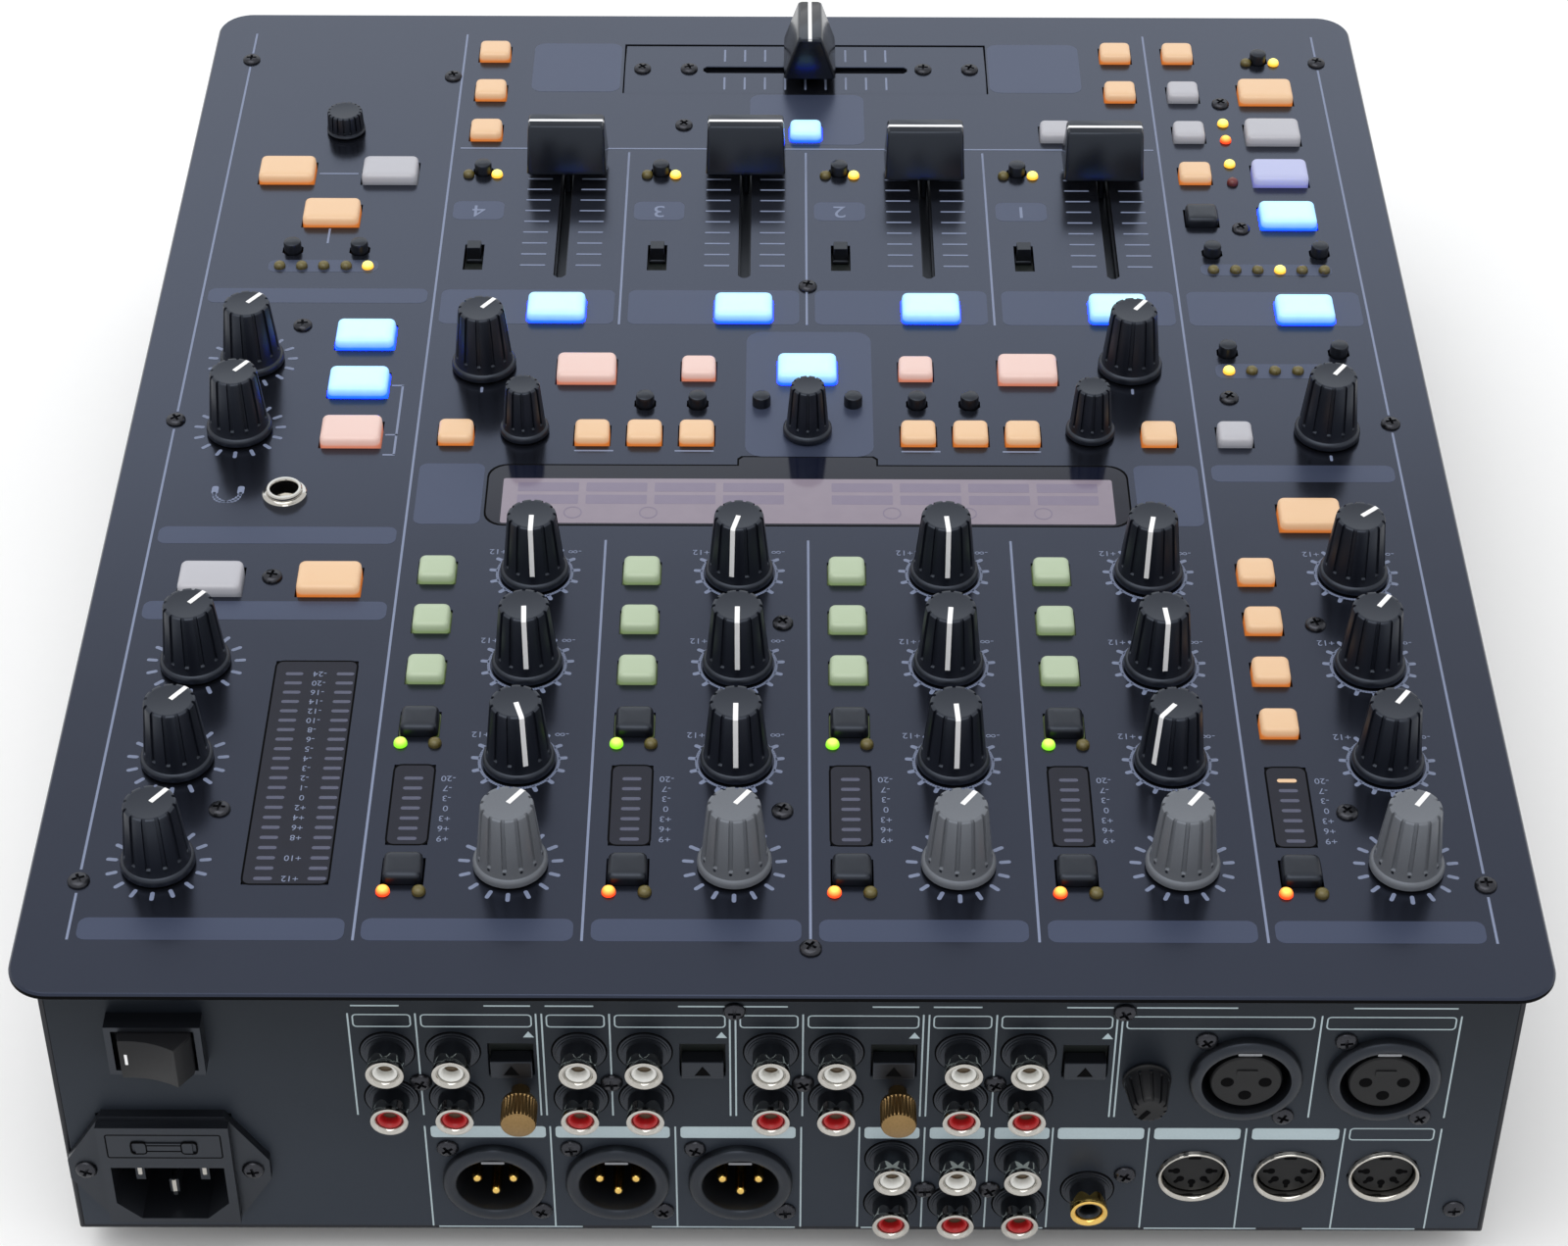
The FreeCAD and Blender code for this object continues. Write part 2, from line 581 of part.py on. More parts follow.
# Rear sockets
def xlr_male():
    profile = [(XLR_BODY, -SOCKET_DEPTH), (XLR_BODY, 0), (XLR_FLANGE, 0), (XLR_FLANGE, XLR_PROUD),
               (XLR_BORE, XLR_PROUD), (XLR_BORE, -XLR_CUP)]
    pins = []
    for u, v in ((-1, 0), (1, 0), (0, -1)):
        x, y = u * XLR_PIN_CIRCLE, v * XLR_PIN_CIRCLE
        pins.append(turned([(XLR_PIN, -XLR_CUP), (XLR_PIN, XLR_PIN_LENGTH - XLR_CUP)], 6, x, y))
    return [turned(profile, SOCKET_SIDES)] + pins


def xlr_female():
    face = XLR_PROUD - XLR_INSERT_SINK
    profile = [(XLR_BODY, -SOCKET_DEPTH), (XLR_BODY, 0), (XLR_FLANGE, 0), (XLR_FLANGE, XLR_PROUD),
               (XLR_GROOVE, XLR_PROUD), (XLR_GROOVE, -XLR_PIN_LENGTH), (XLR_INSERT, -XLR_PIN_LENGTH),
               (XLR_INSERT, face)]
    holes = []
    for u, v in ((-1, 0), (1, 0), (0, -1)):
        x, y = u * XLR_PIN_CIRCLE, v * XLR_PIN_CIRCLE
        holes.append(turned([(XLR_PIN + FIT_GAP, -XLR_PIN_LENGTH), (XLR_PIN + FIT_GAP, face)], 6, x, y))
    return turned(profile, SOCKET_SIDES).cut(holes)


def rca_socket():
    waist = RCA_COLLAR_H + RCA_COLLAR - RCA_SHELL
    profile = [(RCA_COLLAR, 0), (RCA_COLLAR, RCA_COLLAR_H), (RCA_SHELL, waist), (RCA_SHELL, RCA_LENGTH)]
    contact = turned([(RCA_BORE, RCA_LENGTH - RCA_BORE_DEPTH), (RCA_BORE, RCA_LENGTH)], 6)
    return turned(profile, 8).cut(contact)


def rca_housing(height):
    return block(0, 0, 2 * RCA_COLLAR, height, -SOCKET_DEPTH, -SHEET)


def rca_sockets():
    pairs = []
    for x in line_x:
        pairs += [(x, upper_z, second_z), (x - PHONO_STEP, upper_z, second_z)]
    pairs += [(x, third_z, fourth_z) for x in out_x]
    solids = [on_rear(shape, digital_x, digital_z) for shape in (rca_socket(), rca_housing(RCA_PITCH))]
    for x, high, low in pairs:
        solids += [on_rear(rca_socket(), x, high), on_rear(rca_socket(), x, low)]
        solids.append(on_rear(rca_housing(high - low + 2 * RCA_COLLAR), x, (high + low) / 2))
    return solids


def din_socket():
    profile = [(DIN_SHELL, -SOCKET_DEPTH), (DIN_SHELL, DIN_PROUD), (DIN_SHELL - DIN_WALL, DIN_PROUD),
               (DIN_SHELL - DIN_WALL, -DIN_SINK)]
    return turned(profile, SOCKET_SIDES)


def ground_post():
    stud = turned([(POST_STUD, 0), (POST_STUD, POST_LENGTH - POST_NUT_L)], 6)
    teeth = []
    for k in range(2 * POST_TEETH):
        a = math.pi * k / POST_TEETH
        radius = POST_NUT - POST_TOOTH * (k % 2)
        teeth.append((radius * math.cos(a), radius * math.sin(a)))
    rings = [[Vector(x, y, z) for x, y in teeth] for z in (POST_LENGTH - POST_NUT_L, POST_LENGTH)]
    return [stud, stack(rings)]


# Mains inlet with its fuse drawer, and the rocker switch
def inlet_flange():
    w, h = INLET_EAR_W / 2, INLET_EAR_H / 2
    top, side = INLET_H / 2 + INLET_RIM, INLET_TOP_W / 2
    corners = [(side, top), (w, h), (w, -h), (side, -top), (-side, -top), (-w, -h), (-w, h), (-side, top)]
    return sheet(closed([Vector(u, v) for u, v in corners]), [], 0, INLET_PLATE)


def mains_inlet():
    mouth_v, drawer_v = mouth_z - inlet_z, drawer_z - inlet_z
    a, b, c = INLET_MOUTH_W / 2, INLET_MOUTH_H / 2, INLET_MOUTH_CUT
    corners = [(-a, b), (-a, c - b), (c - a, -b), (a - c, -b), (a, c - b), (a, b)]
    back = INLET_PROUD - INLET_CUP
    mouth = sheet(closed([Vector(u, mouth_v + v) for u, v in corners]), [], back, INLET_CUP)
    core = block(0, 0, INLET_W, INLET_H, -INLET_DEPTH, INLET_PROUD)
    pocket = block(0, drawer_v, INLET_MOUTH_W, DRAWER_H, -INLET_DEPTH / 2, INLET_PROUD)
    moulding = inlet_flange().fuse(core).cut([mouth, pocket]).removeSplitter()
    drawer = block(0, drawer_v, INLET_MOUTH_W, DRAWER_H, -INLET_DEPTH / 2, INLET_PROUD)
    grip = block(0, drawer_v, INLET_MOUTH_W / 2, DRAWER_H / 3, INLET_PROUD, INLET_PROUD + FIT_GAP)
    blades = []
    for u, v in ((-BLADE_STEP, BLADE_H / 2), (BLADE_STEP, BLADE_H / 2), (0, -BLADE_H / 2)):
        blades.append(block(u, mouth_v + v, BLADE_W, BLADE_H, back, back + BLADE_LENGTH))
    return [moulding, drawer.fuse(grip).removeSplitter()] + blades


def switch_frame():
    outer = block(0, 0, SWITCH_W, SWITCH_H, 0, SWITCH_PROUD)
    inner_w, inner_h = SWITCH_W - 2 * SWITCH_RIM, SWITCH_H - 2 * SWITCH_RIM
    neck = block(0, 0, inner_w, inner_h, -SWITCH_DEPTH, 0)
    well = block(0, 0, 2 * (ROCKER_SWEEP + RUN_GAP), inner_h, SWITCH_FLOOR, SWITCH_PROUD)
    return outer.fuse(neck).cut(well).removeSplitter()


def power_rocker():
    def rim(degrees):
        a = math.radians(degrees)
        return Vector(ROCKER_SWEEP * math.cos(a), ROCKER_SWEEP * math.sin(a), 0)

    tips = [rim(ROCKER_TIP), rim(180 - ROCKER_TIP)]
    heels = [rim(180 + ROCKER_HEEL), rim(-ROCKER_HEEL)]
    dish = Vector(0, tips[0].y - ROCKER_DISH, 0)
    outline = [Part.Arc(tips[0], dish, tips[1]).toShape(), Part.Arc(tips[1], rim(180), heels[0]).toShape(),
               Part.LineSegment(heels[0], heels[1]).toShape(), Part.Arc(heels[1], rim(0), tips[0]).toShape()]
    height = SWITCH_H - 2 * SWITCH_RIM - 2 * RUN_GAP
    body = Part.Face(Part.Wire(outline)).extrude(Vector(0, 0, height))
    body.translate(Vector(0, 0, -height / 2))
    body.rotate(Vector(0, 0, 0), Vector(0, 0, 1), ROCKER_TILT)
    body.rotate(Vector(0, 0, 0), Vector(1, 0, 0), 90)
    body.translate(Vector(0, 0, SWITCH_PROUD))
    return on_rear(body, switch_x, switch_z)


# Inside: boards, rotary and slide potentiometers, mains supply
def control_board():
    left, right = chassis_half - BOARD_MARGIN_X, chassis_half - BOARD_MARGIN_X
    front, rear = front_y + BOARD_MARGIN_FRONT, rear_y - BOARD_MARGIN_REAR
    board = Part.makeBox(left + right, rear - front, BOARD_THICK, Vector(-left, front, board_low))
    well = JACK_BODY + 2 * FIT_GAP
    solids = [board.cut(block(main_mid_x, jack_y, well, well, board_low, board_top))]
    solids += [block(x, y, SPACER, SPACER, board_top, underside) for x, y in spacers]
    seat = underside - WINDOW_SEAT
    solids.append(block(console_x, display_y, DISPLAY_W, DISPLAY_D, board_top, seat))
    solids += [block(x, y, METER_W, METER_D, board_top, seat) for x, y in meter_places]
    solids.append(block(main_button_x, main_meter_y, MAIN_METER_W, MAIN_METER_D, board_top, seat))
    slider_top = pot_top - SEAT_GAP
    solids += [block(x, curve_window_y, CURVE_W, CURVE_D, board_top, slider_top) for x in button_x[1:]]
    rear_left, rear_right = xlr_in_x[-1] - 2 * XLR_BODY / 2, xlr_out_x[0] + XLR_BODY
    low, high = floor_z + 2 * SHEET, board_low - 2 * SHEET
    back = rear_y - SOCKET_DEPTH - BOARD_THICK
    solids.append(Part.makeBox(rear_right - rear_left, BOARD_THICK, high - low, Vector(rear_left, back, low)))
    slider_body = block(0, 0, PHONO_W, PHONO_H, -SOCKET_DEPTH, -SHEET - POT_DROP - SEAT_GAP)
    solids += [on_rear(slider_body, x, phono_z) for x in phono_x]
    return solids


def potentiometers():
    solids = [block(x, y, POT_SIZE, POT_SIZE, board_top, pot_top) for x, y, form in panel_knobs.values()]
    solids += [track(x, fader_y, False, pot_top) for x in knob_x[1:]]
    solids.append(track(console_x, cross_y, True, plate_low))
    rear_pot = block(0, 0, POT_SIZE, POT_SIZE, -SOCKET_DEPTH, -SHEET - POT_DROP)
    solids.append(on_rear(rear_pot, level_x, level_z))
    return solids


def power_supply():
    right = chassis_half - SHEET - SUPPLY_EDGE
    x, y = right - SUPPLY_W / 2, rear_y - SUPPLY_REAR - SUPPLY_D / 2
    low = floor_z + SHEET
    top = low + SUPPLY_LIFT + BOARD_THICK
    board = block(x, y, SUPPLY_W, SUPPLY_D, low + SUPPLY_LIFT, top)
    solids = [board]
    for sx in (-1, 1):
        for sy in (-1, 1):
            px, py = x + sx * (SUPPLY_W / 2 - 6), y + sy * (SUPPLY_D / 2 - 6)
            solids.append(block(px, py, SPACER, SPACER, low, low + SUPPLY_LIFT))
    solids.append(block(x + 12, y, 30, 28, top, top + 24))
    solids += [turned([(8, top), (8, top + 26)], 8, x - 22, y + away) for away in (-22, 22)]
    comb = [(0, 0), (FINS * FIN_PITCH, 0)]
    for k in reversed(range(FINS)):
        outer, inner = (k + 1) * FIN_PITCH, k * FIN_PITCH + FIN_PITCH - FIN_THICK
        comb += [(outer, 12), (inner, 12), (inner, FIN_THICK), (k * FIN_PITCH, FIN_THICK)]
    wire = closed([Vector(x + 4 + u, y + 24 + v, top) for u, v in comb])
    solids.append(Part.Face(wire).extrude(Vector(0, 0, FIN_HEIGHT)))
    return solids


plate_low = -PLATE_SINK - PANEL_THICK

save("top_panel", [top_panel()])
save("chassis_tray", [chassis_tray()])
save("rear_panel", [rear_panel()])
save("feet", feet())
save("indicator_lenses", windows())
save("crossfader_plate", [crossfader_plate()])
save("phones_jack", [phones_jack()])
sockets = []
for x in xlr_out_x:
    sockets += [on_rear(solid, x, xlr_out_z) for solid in xlr_male()]
sockets += [on_rear(xlr_female(), x, xlr_in_z) for x in xlr_in_x]
save("xlr_sockets", sockets)
save("rca_sockets", rca_sockets())
save("din_sockets", [on_rear(din_socket(), x, din_z) for x in din_x])
save("ground_posts", [on_rear(solid, x, post_z) for x in post_x for solid in ground_post()])
entry = [on_rear(solid, inlet_x, inlet_z) for solid in mains_inlet()]
save("power_entry", entry + [on_rear(switch_frame(), switch_x, switch_z)])
save("power_rocker", [power_rocker()])
save("control_board", control_board())
save("potentiometers", potentiometers())
save("power_supply", power_supply())
for name, (x, y, form) in panel_knobs.items():
    save(name, [knob(x, y, form, PANEL_THICK)])
save("mic_level_knob", [rear_knob()])
for k, (x, y) in enumerate(fader_rest):
    save("ch%d_fader" % (k + 1), [fader(x, y, False, pot_top)])
save("crossfader", [fader(console_x + CROSS_SHIFT, cross_y, True, plate_low)])
save("wide_buttons", [wide_button(x, y) for x, y in wide_places])
save("square_buttons", [square_button(x, y) for x, y in square_places])
save("round_buttons", [round_button(x, y) for x, y in round_places])
save("curve_switches", [curve_switch(x) for x in button_x[1:]])
save("phono_switches", [phono_switch(x) for x in phono_x])
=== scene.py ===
import math

import bmesh
import bpy
from mathutils import Matrix, Vector
from mathutils.bvhtree import BVHTree


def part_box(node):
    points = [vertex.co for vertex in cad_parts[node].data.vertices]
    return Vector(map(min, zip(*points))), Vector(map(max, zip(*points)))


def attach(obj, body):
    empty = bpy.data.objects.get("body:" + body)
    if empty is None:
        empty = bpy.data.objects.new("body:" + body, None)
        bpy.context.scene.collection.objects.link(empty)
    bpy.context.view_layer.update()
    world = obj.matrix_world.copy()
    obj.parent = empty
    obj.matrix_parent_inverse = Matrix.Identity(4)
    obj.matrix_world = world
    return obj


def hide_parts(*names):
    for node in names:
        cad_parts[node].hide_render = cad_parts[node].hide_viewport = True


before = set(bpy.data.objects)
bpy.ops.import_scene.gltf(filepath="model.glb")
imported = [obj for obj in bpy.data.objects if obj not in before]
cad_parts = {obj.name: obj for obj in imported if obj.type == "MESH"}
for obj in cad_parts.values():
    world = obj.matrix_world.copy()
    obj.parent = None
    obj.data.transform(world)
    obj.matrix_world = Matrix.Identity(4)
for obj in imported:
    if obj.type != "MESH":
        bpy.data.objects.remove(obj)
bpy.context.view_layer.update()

# Places: millimetres on the top panel (z = 0 on its face) and on the rear plate as seen from behind
MM = 0.001
panel_low, panel_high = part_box("top_panel")
panel_mid = (panel_low + panel_high) / 2
rear_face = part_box("rear_panel")[1].y
TOP = Matrix.Translation((panel_mid.x, panel_mid.y, panel_high.z)) @ Matrix.Scale(MM, 4)
REAR = Matrix(((-MM, 0, 0, panel_mid.x), (0, 0, MM, rear_face), (0, MM, 0, panel_high.z), (0, 0, 0, 1)))
INK_LOW, INK_HIGH = 0.01, 0.05
PLATE_SINK = 0.3
WINDOW_FACE = 0.012

CONSOLE = "console"
CONSOLE_X = -5.9
LINES = [-149 + 47.7 * k for k in range(6)]
KNOB_X = [line + 16.1 for line in LINES[:5]]
BUTTON_X = [line + 38.8 for line in LINES[:5]]
MAIN_MID_X = 119.15
RIGHT_LINE = 149.0

# Pointers that do not rest at their stop, degrees anticlockwise from the rear edge
STOP = 144
POINTER_REST = {
    "ch1_high_knob": -39, "ch1_mid_knob": 4, "ch1_low_knob": -11,
    "ch2_high_knob": 3, "ch2_mid_knob": -5, "ch2_low_knob": 4,
    "ch3_high_knob": 0, "ch3_mid_knob": 0, "ch3_low_knob": -14,
    "ch4_high_knob": 17, "ch4_mid_knob": 3, "ch4_low_knob": 0,
    "mic_low_knob": 130, "crossfader_curve_knob": 0,
}


# Node trees: one method makes a node, one class carries a socket through arithmetic
class Value:
    def __init__(self, graph, socket):
        self.graph, self.socket = graph, socket

    def math(self, operation, *others):
        return self.graph.out("ShaderNodeMath", dict(enumerate((self, *others))), operation=operation)

    def __add__(self, other):
        return self.math("ADD", other)

    __radd__ = __add__

    def __sub__(self, other):
        return self.math("SUBTRACT", other)

    def __mul__(self, other):
        return self.math("MULTIPLY", other)

    def __truediv__(self, other):
        return self.math("DIVIDE", other)

    def __pow__(self, other):
        return self.math("POWER", other)


class Graph:
    def __init__(self, tree):
        self.tree = tree

    def node(self, kind, sockets=None, **settings):
        made = self.tree.nodes.new(kind)
        for key, value in settings.items():
            setattr(made, key, value)
        for key, value in (sockets or {}).items():
            self.feed(made.inputs[key], value)
        return made

    def feed(self, socket, value):
        if isinstance(value, Value):
            value = value.socket
        if isinstance(value, bpy.types.NodeSocket):
            self.tree.links.new(value, socket)
        else:
            socket.default_value = value

    def out(self, kind, sockets=None, output=0, **settings):
        return Value(self, self.node(kind, sockets, **settings).outputs[output])

    def place(self):
        return self.out("ShaderNodeTexCoord", output="Object")

    def noise(self, size_mm, detail=3.0, stretch=None):
        vector = self.place()
        if stretch:
            vector = self.out("ShaderNodeVectorMath", {0: vector, 1: stretch}, operation="MULTIPLY")
        sockets = {"Vector": vector, "Scale": 1 / (size_mm * MM), "Detail": detail}
        return self.out("ShaderNodeTexNoise", sockets)

    def shade(self, amount, first, second):
        return self.out("ShaderNodeMix", {0: amount, 6: tint(first), 7: tint(second)}, 2, data_type="RGBA")

    def bump(self, height, strength, depth_mm):
        sockets = {"Height": height, "Strength": strength, "Distance": depth_mm * MM}
        return self.out("ShaderNodeBump", sockets)


# Levels of 0 to 255 become linear light; a colour with four values is linear already
def tint(colour):
    if len(colour) == 4:
        return colour
    parts = [level / 255 for level in colour]
    return (*(part / 12.92 if part <= 0.04045 else ((part + 0.055) / 1.055) ** 2.4 for part in parts), 1.0)


# Finishes
def finish(name, recipe, constants=None):
    material = bpy.data.materials.new(name)
    material.use_nodes = True
    graph = Graph(material.node_tree)
    shader = material.node_tree.nodes["Principled BSDF"]
    for socket, value in (constants or {}).items():
        shader.inputs[socket].default_value = value
    for socket, value in recipe(graph).items():
        graph.feed(shader.inputs[socket], value)
    return material


def grained(name, light, dark, rough, spread=0.08, size=0.6, relief=0.02, constants=None):
    def recipe(graph):
        fine = graph.noise(size)
        broad = graph.noise(size * 40, 2.0)
        return {
            "Base Color": graph.shade(fine * 0.6 + broad * 0.4, dark, light),
            "Roughness": rough + (broad - 0.5) * spread + (fine - 0.5) * spread,
            "Normal": graph.bump(fine, 0.25, relief),
        }
    return finish(name, recipe, constants)


def drawn_metal(name, light, dark, rough, stretch):
    def recipe(graph):
        streaks = graph.noise(0.5, 4.0, stretch)
        marks = graph.noise(6.0, 2.0)
        return {
            "Base Color": graph.shade(streaks * 0.7 + marks * 0.3, dark, light),
            "Roughness": rough + (streaks - 0.5) * 0.12 + (marks - 0.5) * 0.06,
            "Normal": graph.bump(streaks, 0.12, 0.01),
        }
    return finish(name, recipe, {"Metallic": 1.0})


def lit_cap(name, face, edge, glow, diffuse, fade=2.0):
    def recipe(graph):
        rim = graph.out("ShaderNodeAttribute", output="Fac", attribute_name="rim")
        cloud = graph.noise(3.0, 2.0)
        colour = graph.shade(rim ** fade + (cloud - 0.5) * 0.1, face, edge)
        body = graph.out("ShaderNodeVectorMath", {0: colour, "Scale": diffuse}, operation="SCALE")
        return {
            "Base Color": body,
            "Emission Color": colour,
            "Roughness": 0.34 + (graph.noise(0.5) - 0.5) * 0.1,
        }
    return finish(name, recipe, {"Emission Strength": glow})


DULL = {"Specular IOR Level": 0.3}
# Bluish specular tints: painted reflection, colouring the reflections as if a bluish surround lit them
BLUE_REFLECTION_TINT = {"Specular Tint": (0.72, 0.82, 1.0, 1.0)}
GLOSS_AND_BLUE_REFLECTION = {"Specular IOR Level": 0.72, "Specular Tint": (0.54, 0.65, 1.0, 1.0)}
PANEL = grained("panel_paint", (13, 14, 18), (9, 10, 14), 0.2, 0.05, 0.35, 0.006, GLOSS_AND_BLUE_REFLECTION)
BAR = grained("bar_ink", (52, 58, 76), (45, 51, 68), 0.32, 0.06, 0.5, 0.006, GLOSS_AND_BLUE_REFLECTION)
INK = grained("printed_ink", (124, 134, 160), (108, 118, 144), 0.5, 0.08, 0.4, 0.006)
CASE = grained("casing_paint", (24, 27, 35), (17, 19, 26), 0.42, 0.08, 0.5, 0.02, DULL)


# Painted shade and light: the rear plate's colour darkens towards the top for the shadow under the panel's
# overhang and lightens towards the bottom for light thrown up from the floor; heights in metres
REAR_TOP = 0.09


def shaded_rear_finish(graph):
    fine, broad = graph.noise(0.45), graph.noise(18.0, 2.0)
    # Painted shade: the height up the plate sets the colour, light at the bottom and dark at the top
    height = graph.out("ShaderNodeSeparateXYZ", {0: graph.place()}, "Z") / REAR_TOP
    return {
        "Base Color": graph.shade(height + (fine + broad - 1.0) * 0.1, (46, 51, 60), (12, 15, 20)),
        "Roughness": 0.4 + (broad - 0.5) * 0.08 + (fine - 0.5) * 0.08,
        "Normal": graph.bump(fine, 0.25, 0.015),
    }


# The plate's bluish specular tint is painted reflection as well
REAR_SHADED_PAINT = finish("rear_paint_with_painted_shade", shaded_rear_finish,
                    {"Specular IOR Level": 0.24, "Specular Tint": (0.72, 0.85, 1.0, 1.0)})
REAR_INK = grained("rear_ink", (178, 194, 200), (158, 174, 180), 0.5, 0.08, 0.4, 0.006)
RUBBER = grained("foot_rubber", (28, 28, 29), (18, 18, 19), 0.8, 0.1, 0.7, 0.04)
KNOB_BLACK = grained("black_knob", (20, 22, 30), (13, 15, 21), 0.36, 0.08, 0.3, 0.01, BLUE_REFLECTION_TINT)
KNOB_GREY = grained("grey_knob", (104, 107, 112), (90, 93, 98), 0.36, 0.08, 0.3, 0.01, BLUE_REFLECTION_TINT)
POINTER = grained("pointer_white", (246, 246, 246), (230, 230, 232), 0.45, 0.05, 0.4, 0.006)
CAP_BLACK = grained("fader_black", (12, 14, 20), (8, 9, 14), 0.2, 0.06, 0.4, 0.006, BLUE_REFLECTION_TINT)
BLACK_CAP = grained("black_button", (15, 16, 21), (9, 10, 14), 0.34, 0.08, 0.4, 0.01, BLUE_REFLECTION_TINT)
DARK = grained("dark_plastic", (17, 18, 21), (10, 11, 14), 0.38, 0.1, 0.6, 0.015, BLUE_REFLECTION_TINT)
ROCKER_BLACK = grained("rocker_black", (14, 15, 19), (9, 10, 13), 0.5, 0.1, 0.6, 0.015, DULL)
# Near-black finish for dark parts, print and rims, and painted shade on the panel's edge and over socket
# holes that are not cut
BLACK_AND_SHADE = grained("black_and_painted_shade", (7, 7, 8), (3, 3, 4), 0.8, 0.05, 0.6, 0.01, {"Specular IOR Level": 0.05})
CONTACT = grained("contact_bronze", (116, 100, 80), (80, 68, 54), 0.4, 0.1, 0.4, 0.01)
INSERT = grained("socket_insert", (14, 15, 18), (9, 10, 12), 0.5, 0.1, 0.6, 0.015, DULL)
SCREW = grained("black_screw", (66, 67, 72), (40, 41, 46), 0.28, 0.1, 0.3, 0.01, {"Metallic": 0.85})
SMOKED = grained("smoked_window", (22, 26, 42), (14, 17, 30), 0.1, 0.04, 4.0, 0.002, DULL)
SCREEN = grained("display_screen", (140, 130, 142), (126, 116, 130), 0.1, 0.04, 5.0, 0.002)
SCREEN_CELL = grained("display_cell", (124, 115, 134), (114, 105, 126), 0.12, 0.04, 3.0, 0.002)
SEGMENT = grained("meter_segment", (76, 79, 100), (64, 67, 88), 0.3, 0.06, 0.5, 0.004)
CHROME = drawn_metal("socket_chrome", (204, 201, 194), (160, 157, 152), 0.07, (1, 6, 1))
BRASS = drawn_metal("post_brass", (160, 132, 92), (108, 86, 50), 0.36, (1, 5, 1))
GOLD = drawn_metal("gold_plating", (240, 204, 120), (216, 174, 88), 0.16, (1, 5, 1))
STEEL = drawn_metal("plain_steel", (150, 152, 156), (118, 120, 124), 0.34, (4, 1, 1))
WHITE_INSERT = grained("white_insert", (236, 236, 232), (216, 216, 212), 0.4, 0.06, 0.5, 0.01)
RED_INSERT = grained("red_insert", (186, 26, 30), (156, 18, 22), 0.4, 0.06, 0.5, 0.01)
BOARD = grained("circuit_board", (20, 26, 24), (12, 18, 16), 0.5, 0.08, 0.8, 0.02)

LIT = {
    "orange": lit_cap("orange_cap", (246, 206, 164), (252, 142, 62), 0.46, 0.4),
    "pink": lit_cap("pink_cap", (245, 212, 203), (246, 150, 120), 0.48, 0.4),
    "blue": lit_cap("blue_cap", (186, 240, 255), (30, 112, 255), 1.0, 0.4, 0.8),
    "green": lit_cap("green_cap", (198, 216, 184), (164, 190, 134), 0.3, 0.45),
    "lavender": lit_cap("lavender_cap", (194, 199, 238), (146, 150, 230), 0.46, 0.4),
    "grey": lit_cap("grey_cap", (204, 204, 212), (166, 168, 178), 0.24, 0.5),
}
LEAK = lit_cap("green_leak", (86, 110, 26), (72, 98, 20), 0.16, 0.3)
BLUE_LEAK = lit_cap("blue_leak", (4, 26, 255), (4, 20, 255), 18.0, 0.3)
LAMPS = {
    "hot": lit_cap("lamp_red_lit", (255, 220, 90), (255, 40, 16), 1.4, 0.3, 0.8),
    "lime": lit_cap("lamp_green_lit", (230, 255, 110), (120, 220, 20), 1.2, 0.3, 1.0),
    "gold": lit_cap("lamp_yellow_lit", (255, 246, 130), (255, 170, 20), 1.3, 0.3),
    "amber": lit_cap("lamp_amber", (104, 94, 46), (66, 56, 20), 0.08, 0.8),
    "dim": lit_cap("lamp_dark_red", (110, 40, 40), (80, 24, 26), 0.08, 0.8),
}


# Meshes are gathered as points and faces in millimetres
class Shape:
    def __init__(self):
        self.points, self.faces, self.paints, self.rims = [], [], [], []

    def loft(self, rings, paint=0, rims=None, low=True, high=True):
        start, count = len(self.points), len(rings[0])
        for k, ring in enumerate(rings):
            self.points += [Vector(point) for point in ring]
            self.rims += [rims[k] if rims else 0.0] * count
        made = []
        for k in range(len(rings) - 1):
            a, b = start + k * count, start + (k + 1) * count
            for i in range(count):
                j = (i + 1) % count
                made.append((a + i, a + j, b + j, b + i))
        if low:
            made.append(tuple(reversed(range(start, start + count))))
        if high:
            made.append(tuple(range(start + (len(rings) - 1) * count, start + len(rings) * count)))
        self.faces += made
        self.paints += [paint] * len(made)

    def tube(self, rings, paint=0):
        self.loft(rings, paint, None, False, False)

    def add(self, other, place=Matrix.Identity(4), paint=None):
        start = len(self.points)
        self.points += [place @ point for point in other.points]
        self.rims += other.rims
        self.faces += [tuple(start + i for i in face) for face in other.faces]
        self.paints += other.paints if paint is None else [paint] * len(other.faces)


def polar(radius, angle, z=0.0, x=0.0, y=0.0):
    return (x + radius * math.cos(angle), y + radius * math.sin(angle), z)


def circle(radius, z, count=32, x=0.0, y=0.0):
    return [polar(radius, 2 * math.pi / count * k, z, x, y) for k in range(count)]


CORNER_STEPS = 4


def round_box(w, d, corner, z, x=0.0, y=0.0):
    points = []
    for quarter, (sx, sy) in enumerate(((1, 1), (-1, 1), (-1, -1), (1, -1))):
        for k in range(CORNER_STEPS + 1):
            a = math.pi / 2 * (quarter + k / CORNER_STEPS)
            points.append(polar(corner, a, z, x + sx * (w / 2 - corner), y + sy * (d / 2 - corner)))
    return points


def block(shape, w, d, corner, heights, x=0.0, y=0.0, paint=0):
    shape.loft([round_box(w, d, corner, z, x, y) for z in heights], paint)


def lathe(profile, count=32, paint=0, rims=None, low=True, high=True):
    shape = Shape()
    shape.loft([circle(radius, z, count) for radius, z in profile], paint, rims, low, high)
    return shape


# Edges sharper than this angle stay crisp, in degrees; button caps keep only their hard corners
SHARP, CAP_SHARP = 38, 60


